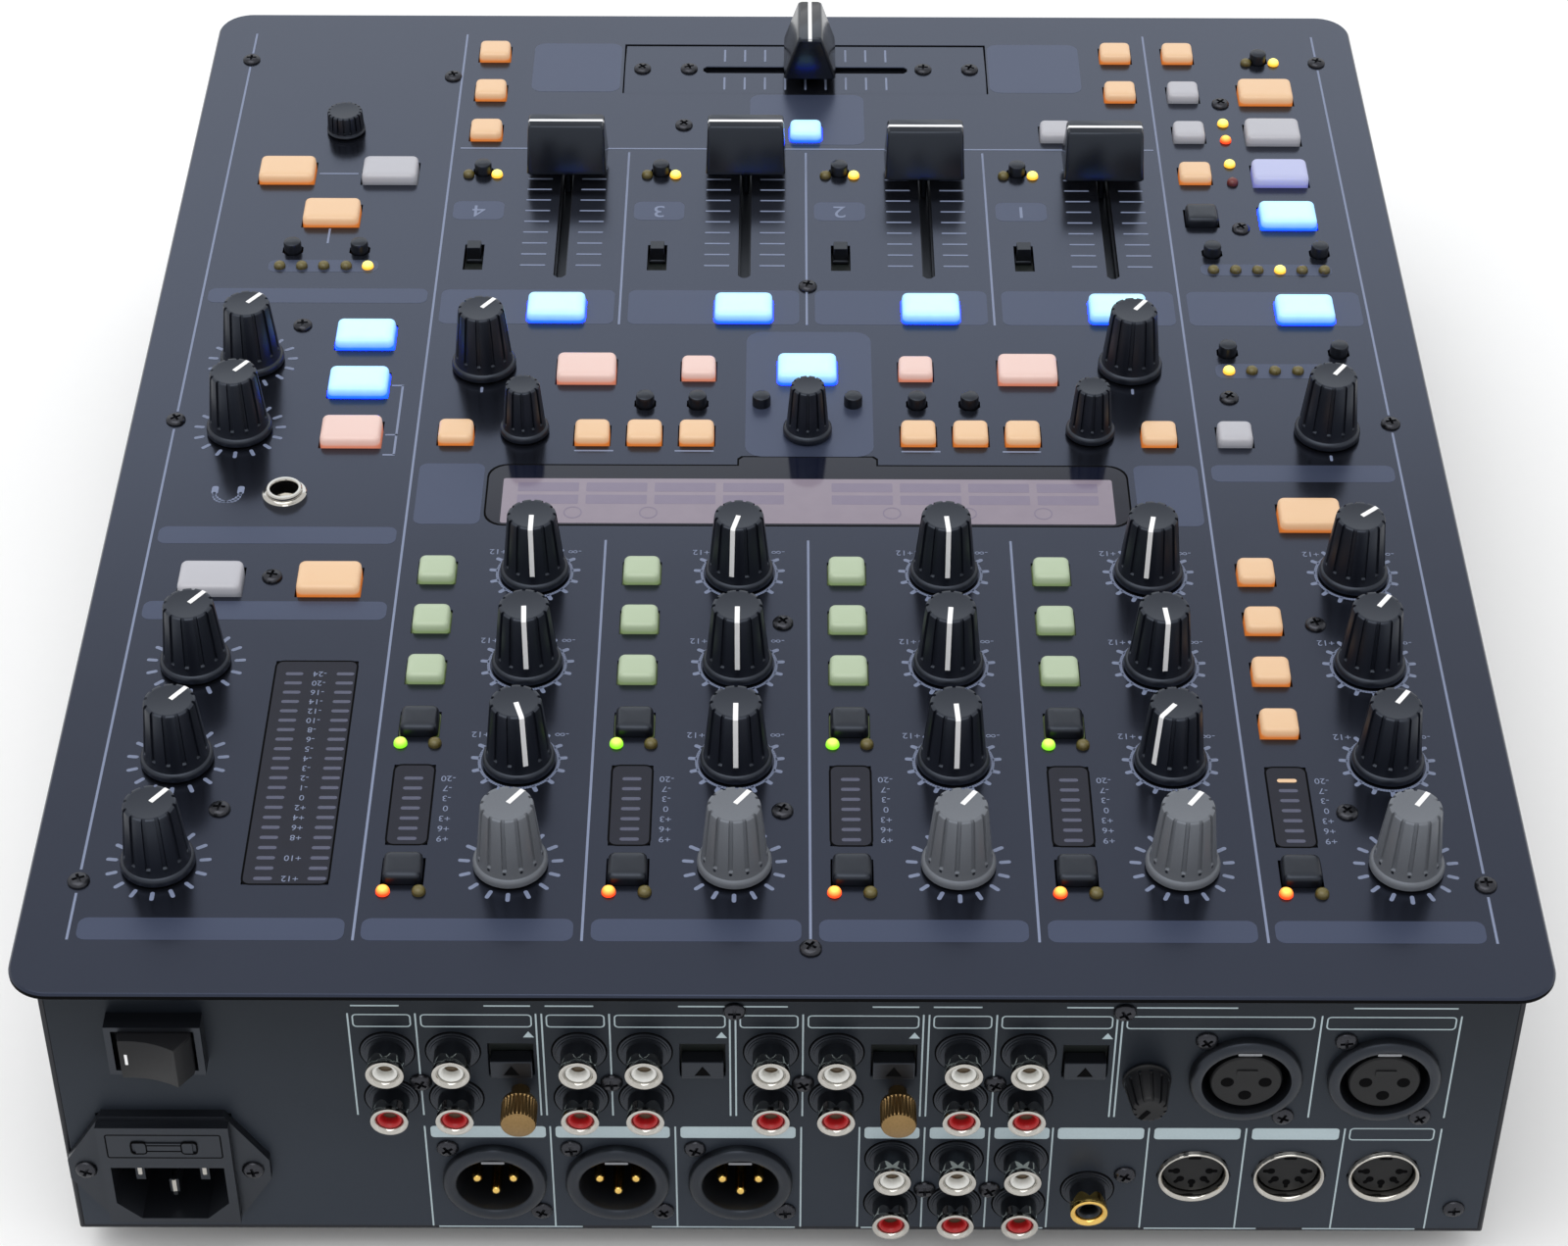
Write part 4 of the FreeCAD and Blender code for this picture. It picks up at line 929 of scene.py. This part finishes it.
def fit_windows():
    painted("indicator_lenses", SMOKED)
    skins, rims = Shape(), Shape()
    panes = [(x, METER_Y, 8.5, 24.7) for x in BUTTON_X] + [(MAIN_METER_X, MAIN_METER_Y, 18.0, 71.2)]
    for x, y, w, d in panes:
        block(skins, w, d, WINDOW_CORNER, (WINDOW_LOW, WINDOW_FACE), x, y)
        rims.tube([round_box(w + grow, d + grow, WINDOW_CORNER + grow / 2, z, x, y) for grow, z in RIM_STEPS])
    skins.loft([display_path(0.0, z) for z in (WINDOW_LOW, WINDOW_FACE)])
    rims.tube([display_path(grow / 2, z) for grow, z in RIM_STEPS])
    placed(skins, "window_films", TOP, [SMOKED])
    placed(rims, "window_rims", TOP, [BLACK_AND_SHADE])
    channels = [(x, SEGMENT_Y) for x in BUTTON_X]
    ladder("channel_segments", channels, 7, (0, -SEGMENT_STEP), 4.2, 1.0, SEGMENT, WINDOW_FACE)
    mains = [(x, MAIN_SEGMENT_Y) for x in (98.7, 110.2)]
    ladder("main_segments", mains, 22, (0, -MAIN_SEGMENT_STEP), 4.0, 1.0, SEGMENT, WINDOW_FACE)
    lowest = [(BUTTON_X[0], SEGMENT_Y - 6 * SEGMENT_STEP)]
    ladder("lit_segment", lowest, 1, (0, -SEGMENT_STEP), 4.3, 1.1, LIT["orange"], SCREEN_FACE)
    screen = Shape()
    slab(screen, -79, 67.2, 21, 38, 0.6, WINDOW_FACE, SCREEN_FACE)
    placed(screen, "display_screen", TOP, [SCREEN])
    for side, name in ((-1, "left"), (1, "right")):
        cells = Shape()
        for x in (CONSOLE_X + side * (13.0 + 16.4 * k) for k in range(4)):
            for y in (24.3, 29.0):
                block(cells, CELL_W, CELL_D, 0.3, (SCREEN_FACE, SCREEN_FACE + 0.02), x, y)
        placed(cells, "display_cells_" + name, TOP, [SCREEN_CELL])
        dials = [Vector((CONSOLE_X + side * (20.0 + 18.0 * k), 34.0, SCREEN_FACE)) for k in range(3)]
        ring = lathe([(2.2, 0.0), (2.2, 0.04), (1.9, 0.04)], 28, low=False, high=False)
        repeated("display_dials_" + name, ring, [SCREEN_CELL], dials, TOP)


# Printing on the panel: bars by low edge, high edge, corner and spans across; ruled lines by place and spans
BARS = [
    (169.5, 176, 2, [(-147, -103), (-99.3, -55.5), (-51.5, -7.7), (-4, 40), (43.7, 88), (91.5, 147.3)]),
    (15, 21.5, 2, [(-147.5, -103.3)]),
    (15.3, 38.5, 2, [(-100, -84.5), (72, 87.8)]),
    (67, 73.5, 2, [(91.3, 147.5)]),
    (39.7, 46, 2, [(91.3, 147.5)]),
    (-57.3, -51, 2, [(91.3, 147.5)]),
    (-57, -42.2, 2, [(-147.5, -103.3), (-99.8, -55.8), (-52, -8), (-4, 39.7), (43.3, 87.7)]),
    (-39, 12.2, 4, [(-22, 9.3)]),
    (-150, -125, 3, [(-21.9, 9.3)]),
    (-176.4, -151.3, 3, [(-82.5, -57), (45.5, 70)]),
    (-26, -20, 2, [(-142, -108)]),
    (-69.3, -64.3, 2, [(-142, -108)]),
    (-70, -64.7, 2, [(105, 133.5)]),
]
SCALE = "+9 +6 +3 0 -3 -7 -20".split(" ")
MAIN_SCALE = "+12  +10  +8 +6 +4 +2 0 -1 -2 -3 -4 -5 -6 -8 -10 -12 -14 -16 -20 -24".split(" ")
HEADPHONE_SIGN = (133.0, 27.0)
RULE = 0.28
BRACKET_X = 94.2
UPRIGHTS = [
    ((LINES[0], RIGHT_LINE), [(162.3, 176), (2, 155.3), (-163.5, -5), (-181, -170.5)]),
    ((LINES[1], LINES[5]), [(-181, 176)]),
    (LINES[2:5], [(44.3, 176), (-121, -42)]),
    ((BRACKET_X + RULE,), [(-15.9, 12.0)]),
    ((MAIN_MID_X,), [(-84.3, -77.6)]),
]
LEVELS = [
    (-122.8, [(-100, 87.5)]),
    (10.1, [(-62.6, -53.3), (-38.2, -28.7), (16.9, 26.4), (41.3, 50.8)]),
    *((y, [(BRACKET_X, BRACKET_X + 3.0)]) for y in (-15.9, 4.1, 12.0)),
    (-110.2, [(114.0, 124.4)]),
]
BAR_LOW, BAR_HIGH = 0.005, 0.03
PLATES = [(-69.5, -56), (-21.5, -8), (26.3, 39.6), (74, 87.4)]


def fit_panel_print():
    bars, lines, figures = Shape(), Shape(), Shape()
    for y0, y1, corner, spans in BARS:
        for x0, x1 in spans:
            slab(bars, x0, x1, y0, y1, corner, BAR_LOW, BAR_HIGH)
    for number, (x0, x1) in enumerate(PLATES):
        slab(bars, x0, x1, -97.3, -88.8, 2, BAR_LOW, BAR_HIGH)
        write(figures, str(number + 1), (x0 + x1) / 2, -93.0, 7.5, BAR_HIGH)
    for xs, spans in UPRIGHTS:
        for x in xs:
            for low, top in spans:
                upright(lines, x, low, top, RULE)
    for y, spans in LEVELS:
        for x0, x1 in spans:
            level(lines, x0, x1, y, RULE)
    for x in BUTTON_X:
        for k, text in enumerate(SCALE):
            write(figures, text, x - 7.6, SEGMENT_Y - SEGMENT_STEP * k, 2.5)
    for k, text in enumerate(MAIN_SCALE):
        write(figures, text, 104.45, MAIN_SEGMENT_Y - MAIN_SEGMENT_STEP * k, 2.4, WINDOW_FACE)
    for x in KNOB_X:
        for y in (112.3, 80.5, 48.7):
            write(figures, "-∞", x - 9.0, y, 2.6)
            write(figures, "+12", x + 9.0, y, 2.6)
    x0, y0 = HEADPHONE_SIGN
    band = [(x0 + 3.2 * math.cos(a), y0 + 3.4 * math.sin(a)) for a in [math.pi * k / 12 for k in range(13)]]
    for (ax, ay), (bx, by) in zip(band, band[1:]):
        slab(lines, min(ax, bx) - 0.3, max(ax, bx) + 0.3, min(ay, by) - 0.3, max(ay, by) + 0.3, 0.3)
    for side in (-1, 1):
        slab(lines, x0 + side * 3.1 - 0.8, x0 + side * 3.1 + 0.8, y0 - 2.6, y0 + 0.4, 0.6)
    placed(bars, "panel_bars", TOP, [BAR])
    placed(lines, "panel_lines", TOP, [INK])
    placed(figures, "panel_figures", TOP, [INK])


# Printing on the rear plate: one group for each line input, then the rest
PRINT_STEP, REAR_RULE, REAR_FRAME = 40.4, 0.18, 0.3
TAG_ROW = (-15, -11.4)


def fit_rear_print():
    lines, boxes = Shape(), Shape()
    for k in range(4):
        shift = PRINT_STEP * k
        outline(lines, -89.5 + shift, -77.5 + shift, *TAG_ROW, REAR_FRAME)
        outline(lines, -75.3 + shift, -52.3 + shift, *TAG_ROW, REAR_FRAME)
        for u in (-90.5, -76.4, -51.3):
            upright(lines, u + shift, -42.5, -11, REAR_RULE)
        for u0, u1 in ((-89.7, -79.6), (-62.0, -52.3)):
            slab(lines, u0 + shift, u1 + shift, -8.9, -8.5)
        points = [(-54.2, -18.2), (-51.9, -18.2), (-53.05, -16.4)]
        lines.loft([[(u + shift, v, w) for u, v in points] for w in (INK_LOW, INK_HIGH)])
    for u0, u1 in ((72, 111), (113.7, 140.5)):
        outline(lines, u0, u1, *TAG_ROW, REAR_FRAME)
    for u0, u1 in ((73.7, 94.7), (118.8, 140.5)):
        slab(lines, u0, u1, -8.9, -8.5)
    for u in (71, 112.5, 141.5):
        upright(lines, u, -42.5, -11, REAR_RULE)
    for u0, u1 in ((-75.3, -50.6), (-48.5, -24), (-21.7, 3), (17.8, 29.6), (31.8, 43.6), (45.7, 57.5),
                   (59.3, 77.8), (80, 98.5), (101, 119.7)):
        slab(boxes, u0, u1, -49.6, -46, 0.8)
    outline(lines, 122, 140, -49.6, -46, REAR_FRAME)
    for u in (-76.5, -49.6, -22.8, 4.2, 16.7, 30.7, 44.6, 58.2, 78.8, 99.7, 120.8, 141.5):
        upright(lines, u, -78.8, -46, REAR_RULE)
    for u0, u1 in ((-75.3, -43.7), (-28.5, 3.0), (17.5, 22.0), (52.0, 57.5), (79.8, 104.5), (114.7, 139.5)):
        slab(lines, u0, u1, -79.2, -78.8)
    placed(lines, "rear_lines", REAR, [REAR_INK])
    placed(boxes, "rear_boxes", REAR, [REAR_INK])


# Rear sockets
CROWN_LOBES = 6


def rca():
    shape = Shape()
    shape.add(lathe([(5.95, 0.02), (5.95, 0.08), (5.65, 0.08)], 40, 3, low=False, high=False))
    collar = [(5.65, 0.02), (5.6, 0.3), (5.2, 0.36), (5.15, 0.6), (4.8, 0.66), (4.75, 0.9), (3.9, 0.95),
              (3.85, 5.6)]
    shape.add(lathe(collar, 40, low=False, high=False))
    turns = [2 * math.pi * k / 48 for k in range(48)]
    crown = ((3.9, 5.3, 1.6), (3.98, 5.35, 1.6), (4.0, 5.6, 0), (4.1, 5.9, 0), (4.1, 6.7, 0), (3.98, 7.05, 0),
             (3.72, 7.2, 0), (3.35, 7.15, 0), (2.95, 6.8, 0), (2.75, 6.3, 0), (2.72, 5.6, 0))
    shape.tube([[polar(r, a, z - deep * abs(math.cos(CROWN_LOBES / 2 * a))) for a in turns]
                for r, z, deep in crown], 1)
    core = [(2.74, 6.0), (2.62, 6.3), (2.35, 6.38), (1.95, 6.05), (1.75, 5.2), (1.65, 4.1)]
    shape.add(lathe(core, 32, 2, low=False, high=False))
    shape.add(lathe([(1.66, 4.3), (1.6, 4.0), (0.2, 3.9)], 32, 4, low=False))
    return shape


def xlr(pins):
    shape = Shape()
    edge = 11.3 if pins else 12.0
    body = [(9.9, -18.0), (9.9, -0.1), (edge, 0.0), (edge, 1.5), (edge - 0.3, 2.0), (edge - 1.0, 2.5)]
    if pins:
        body += [(8.9, 2.5), (8.4, 2.2), (8.15, 1.6), (8.15, -11.0)]
    else:
        body += [(9.8, 2.5), (9.5, 2.3), (9.4, 1.8), (9.4, -8.5)]
        shape.add(lathe([(7.6, -8.6), (7.6, 1.4), (7.3, 1.75), (6.9, 1.8)], 48, 4))
        block(shape, 4.4, 1.7, 0.2, (1.7, 2.05), 0, 2.9, 4)
    shape.add(lathe(body, 48))
    pin = [(1.2, -11.0), (1.2, -0.6), (1.0, 0.0), (0.6, 0.4), (0.2, 0.5)]
    # On the inputs, near-black discs on the insert's uncut face stand for the pin holes: painted shade
    hole = [(1.4, 1.79), (1.4, 1.84), (1.3, 1.86)]
    contact = lathe(pin, 16, 1) if pins else lathe(hole, 20, 2)
    for u, v in ((-4, 0), (4, 0), (0, -4)):
        shape.add(contact, at(u, v))
    block(shape, 5.0, 0.7, 0.2, (-2.0, 2.4, 2.6), 0, 8.1 if pins else 9.3, 3)
    return shape


def din():
    shape = Shape()
    shell = [(7.75, -18.0), (7.75, 0.7), (7.6, 0.95), (7.3, 1.0), (6.9, 0.7), (6.7, 0.2), (6.7, -2.0)]
    shape.add(lathe(shell, 48, high=False))
    shape.add(lathe([(6.68, -1.95), (6.4, -1.3), (6.1, -1.2), (0.5, -1.2)], 40, 1))
    # Near-black sheets on the insert's uncut face stand for the pin holes: painted shade
    for degrees in (0, 45, 90, 135, 180):
        a = math.radians(degrees + 180)
        slot = Shape()
        block(slot, 0.9, 2.6, 0.4, (-1.19, -1.14), paint=2)
        slot.loft([circle(0.85, z, 16, 0.0, -0.5) for z in (-1.19, -1.13)], 2)
        place = Matrix.Translation(polar(4.1, a))
        shape.add(slot, place @ Matrix.Rotation(a - math.pi / 2, 4, "Z"))
    block(shape, 2.8, 1.4, 0.3, (-1.19, -0.2), 0, 5.6, 2)
    return shape


def post():
    shape = Shape()
    shape.add(lathe([(2.0, 0.0), (2.0, 3.4)], 20))
    teeth = 28

    def ring(radius, z, tooth=0.0):
        step = 2 * math.pi / (4 * teeth)
        return [polar(radius - tooth * (k % 4 > 1), step * k, z) for k in range(4 * teeth)]

    shape.loft([ring(3.2, 3.1), ring(3.7, 3.5), ring(3.84, 4.3), ring(3.84, 4.6, 0.32), ring(3.84, 9.4, 0.32),
                ring(3.62, 9.9), ring(3.3, 10.1)])
    return shape


LINE_U = [-82.9 + 40.3 * k for k in range(4)]
OUT_U = (23.8, 37.8, 51.8)


def fit_rear_sockets():
    columns = LINE_U + [u + 13.8 for u in LINE_U]
    white, red = [], []
    for places, upper, lower in ((white, -22.5, -56.1), (red, -37.0, -70.6)):
        places += [(u, upper) for u in columns] + [(u, lower) for u in OUT_U]
    repeated("rca_white", rca(), [DARK, CHROME, WHITE_INSERT, BLACK_AND_SHADE, CONTACT], white, REAR,
             nodes=("rca_sockets",))
    repeated("rca_red", rca(), [DARK, CHROME, RED_INSERT, BLACK_AND_SHADE, CONTACT], red, REAR)
    repeated("rca_gold", rca(), [DARK, GOLD, DARK, BLACK_AND_SHADE, BLACK_AND_SHADE], [(66.6, -65.9)], REAR)
    paints = [DARK, GOLD, BLACK_AND_SHADE, STEEL, INSERT]
    repeated("xlr_outputs", xlr(True), paints, XLR_OUT, REAR, nodes=("xlr_sockets",))
    repeated("xlr_inputs", xlr(False), paints, XLR_IN, REAR)
    repeated("din_rings", din(), [CHROME, INSERT, BLACK_AND_SHADE], [(u, -61.3) for u in (89.4, 110.05, 130.7)], REAR,
             nodes=("din_sockets",))
    nuts = [(u, -34.6) for u in (-55.4, 24.6)]
    repeated("ground_nuts", post(), [BRASS], nuts, REAR, nodes=("ground_posts",))


# Headphone socket
def fit_jack():
    profile = [(5.3, 0.0), (5.3, 1.0), (5.1, 1.2), (4.5, 1.25), (4.3, 1.4), (4.3, 2.3), (4.05, 2.6),
               (3.5, 2.6), (3.25, 2.3), (3.2, 1.6)]
    bush = lathe(profile, 40, high=False)
    bush.add(lathe([(3.2, 1.65), (3.2, -29.0)], 40, 1, low=False))
    place = TOP @ at(MAIN_MID_X, 28.0)
    placed(bush, "phones_bush", place, [CHROME, BLACK_AND_SHADE], CONSOLE, ("phones_jack",))


# Mains fittings: bright blades, a fuse sign and the drawer's seam as dark lines, the rocker with its on mark,
# and arrows on the selector sliders
ROCKER_AT = (-130.7, -18.1, 4.4)
ROCKER_TILT = math.radians(13)
DRAWER_FACE = 3.9
SELECTOR_U = (-57.0, -16.7, 23.6, 63.9)


def rocker_shape():
    shape = Shape()
    dish = [(6.2 - 1.55 * k, 3.9 - 0.9 * (1 - (k / 4 - 1) ** 2)) for k in range(9)]
    section = [(8.1, -0.3), *dish, (-8.1, -0.3), (-7.6, -2.6), (7.6, -2.6)]
    c, s = math.cos(ROCKER_TILT), math.sin(ROCKER_TILT)
    turned = [(u * c - w * s, u * s + w * c) for u, w in section]
    u0, v0, w0 = ROCKER_AT
    shape.loft([[(u0 + u * size, v0 + v, w0 + w * size) for u, w in turned]
                for v, size in ((5.55, 0.96), (5.3, 1.0), (-5.3, 1.0), (-5.55, 0.96))])
    return shape


def fit_mains():
    blades, sign, arrows, mark = Shape(), Shape(), Shape(), Shape()
    for u, v, high in ((-7, 3.4, 4.1), (7, 3.4, 4.1), (0, -2.6, 5.4)):
        steps = ((1.5, high, -11.0), (1.5, high, -0.4), (0.9, high - 0.6, 0.15))
        blades.loft([round_box(w, d, 0.3, z, MOUTH_U + u, MOUTH_V + v) for w, d, z in steps])
    print_at = {"low": DRAWER_FACE, "high": 4.34}
    for side in (-1, 1):
        end = MOUTH_U + 5.4 * side
        outline(sign, end - 1.65, end + 1.65, DRAWER_V - 1.75, DRAWER_V + 1.75, 0.3, 0.8, **print_at)
        bar_v = DRAWER_V + 0.9 * side
        slab(sign, MOUTH_U - 3.75, MOUTH_U + 3.75, bar_v - 0.15, bar_v + 0.15, **print_at)
    outline(sign, MOUTH_U - 12.3, MOUTH_U + 12.3, DRAWER_V - 3.3, DRAWER_V + 3.9, 0.3, 0.5, DRAWER_FACE, 4.03)
    for u in SELECTOR_U:
        points = [(u - 1.7, -28.6), (u + 1.7, -28.6), (u, -25.8)]
        arrows.loft([[(a, b, z) for a, b in points] for z in (1.2, 1.26)])
    rocker = as_mesh(rocker_shape(), "rocker", REAR, [ROCKER_BLACK])
    skin = BVHTree.FromPolygons([v.co for v in rocker.vertices], [f.vertices for f in rocker.polygons])
    corners = []
    for u, v in ((-0.3, -1.5), (0.3, -1.5), (0.3, 1.5), (-0.3, 1.5)):
        start = REAR @ Vector((ROCKER_AT[0] - 5.6 + u, ROCKER_AT[1] + v, 30))
        corners.append(REAR.inverted() @ skin.ray_cast(start, Vector((0, -1, 0)))[0])
    mark.loft([[point + Vector((0, 0, lift)) for point in corners] for lift in (-0.1, 0.06)])
    placed(blades, "mains_blades", REAR, [CHROME])
    fitted(rocker, "rocker", "power_rocker", ("power_rocker",))
    placed(sign, "fuse_sign", REAR, [BLACK_AND_SHADE])
    placed(arrows, "selector_arrows", REAR, [BLACK_AND_SHADE], "phono_switches")
    placed(mark, "rocker_mark", REAR, [POINTER], "power_rocker")


def fit_casing():
    # The panel's upright edge faces take the near-black finish: painted shade standing in for the shadow
    # along the edge
    softened("top_panel", "top_plate", 0.18, PANEL, side=BLACK_AND_SHADE)
    softened("chassis_tray", "tray", 0.5, CASE)
    softened("rear_panel", "rear_plate", 0.15, REAR_SHADED_PAINT)
    softened("feet", "rubber_feet", 0.8, RUBBER)
    softened("crossfader_plate", "fader_plate", 0.2, PANEL)
    softened("power_entry", "mains_entry", 0.35, DARK)
    softened("curve_switches", "curve_stubs", 0.25, DARK, "curve_switches")
    softened("phono_switches", "phono_stubs", 0.25, DARK, "phono_switches")
    painted("control_board", BOARD)
    painted("potentiometers", DARK)
    painted("power_supply", STEEL)


fit_casing()
fit_knobs()
fit_buttons()
fit_faders()
fit_screws()
fit_lamps()
fit_windows()
fit_panel_print()
fit_rear_print()
fit_rear_sockets()
fit_jack()
fit_mains()


# Floor, light and camera
FLOOR_REACH = 6.0
CAMERA_PITCH, CAMERA_YAW, CAMERA_ROLL = 0.709124, -0.0015645, 0.0041278
CAMERA_AT = (0.743, 705.638, 541.855)


def area_light(name, size, power, spot, aim, colour=(1.0, 1.0, 1.0)):
    lamp = bpy.data.lights.new(name, "AREA")
    lamp.shape, lamp.size, lamp.size_y, lamp.energy = "RECTANGLE", *size, power
    lamp.color = colour
    obj = bpy.data.objects.new(name, lamp)
    obj.location = spot
    obj.rotation_euler = (Vector(aim) - obj.location).to_track_quat("-Z", "Y").to_euler()
    bpy.context.scene.collection.objects.link(obj)


def studio():
    scene = bpy.context.scene
    scene.view_settings.view_transform = "Standard"
    ground = bpy.data.meshes.new("floor")
    signs = ((-1, -1), (1, -1), (1, 1), (-1, 1))
    ground.from_pydata([(x * FLOOR_REACH, y * FLOOR_REACH, 0) for x, y in signs], [], [(0, 1, 2, 3)])
    paper = grained("floor_paper", (0.95, 0.95, 0.95, 1), (0.93, 0.93, 0.93, 1), 0.9, 0.05, 4.0, 0.01)
    ground.materials.append(paper)
    floor = linked(ground, "floor")
    world = bpy.data.worlds.new("studio")
    scene.world = world
    world.use_nodes = True
    graph = Graph(world.node_tree)
    path = graph.node("ShaderNodeLightPath")
    seen = Value(graph, path.outputs["Is Camera Ray"]) + Value(graph, path.outputs["Is Glossy Ray"])
    seen = seen + Value(graph, path.outputs["Is Transmission Ray"])
    seen = seen.math("MINIMUM", 1.0)
    back = world.node_tree.nodes["Background"]
    back.inputs["Color"].default_value = (1, 1, 1, 1)
    graph.feed(back.inputs["Strength"], 0.8 + seen * 0.2)
    area_light("softbox", (1.6, 1.2), 12.0, (0.25, 0.35, 1.5), (0, 0, 0.05))
    area_light("front_strip", (1.4, 0.4), 1.3, (0.1, -0.95, 0.62), (0, -0.1, 0.09), (0.8, 0.9, 1.0))
    camera = bpy.data.cameras.new("photo_camera")
    camera.sensor_width, camera.lens = 36.0, 83.24
    camera.clip_start, camera.clip_end = 0.01, 50
    eye = bpy.data.objects.new("photo_camera", camera)
    pitch, roll = CAMERA_PITCH, CAMERA_ROLL
    spin = Matrix.Rotation(CAMERA_YAW, 3, "Z")
    right = spin @ Vector((-1, 0, 0))
    up = spin @ Vector((0, -math.sin(pitch), math.cos(pitch)))
    aim = spin @ Vector((0, -math.cos(pitch), -math.sin(pitch)))
    tilted_right = right * math.cos(roll) + up * math.sin(roll)
    tilted_up = up * math.cos(roll) - right * math.sin(roll)
    turn = Matrix((tilted_right, tilted_up, -aim)).transposed()
    eye.matrix_world = Matrix.Translation(TOP @ Vector(CAMERA_AT)) @ turn.to_4x4()
    scene.collection.objects.link(eye)
    scene.camera = eye


studio()
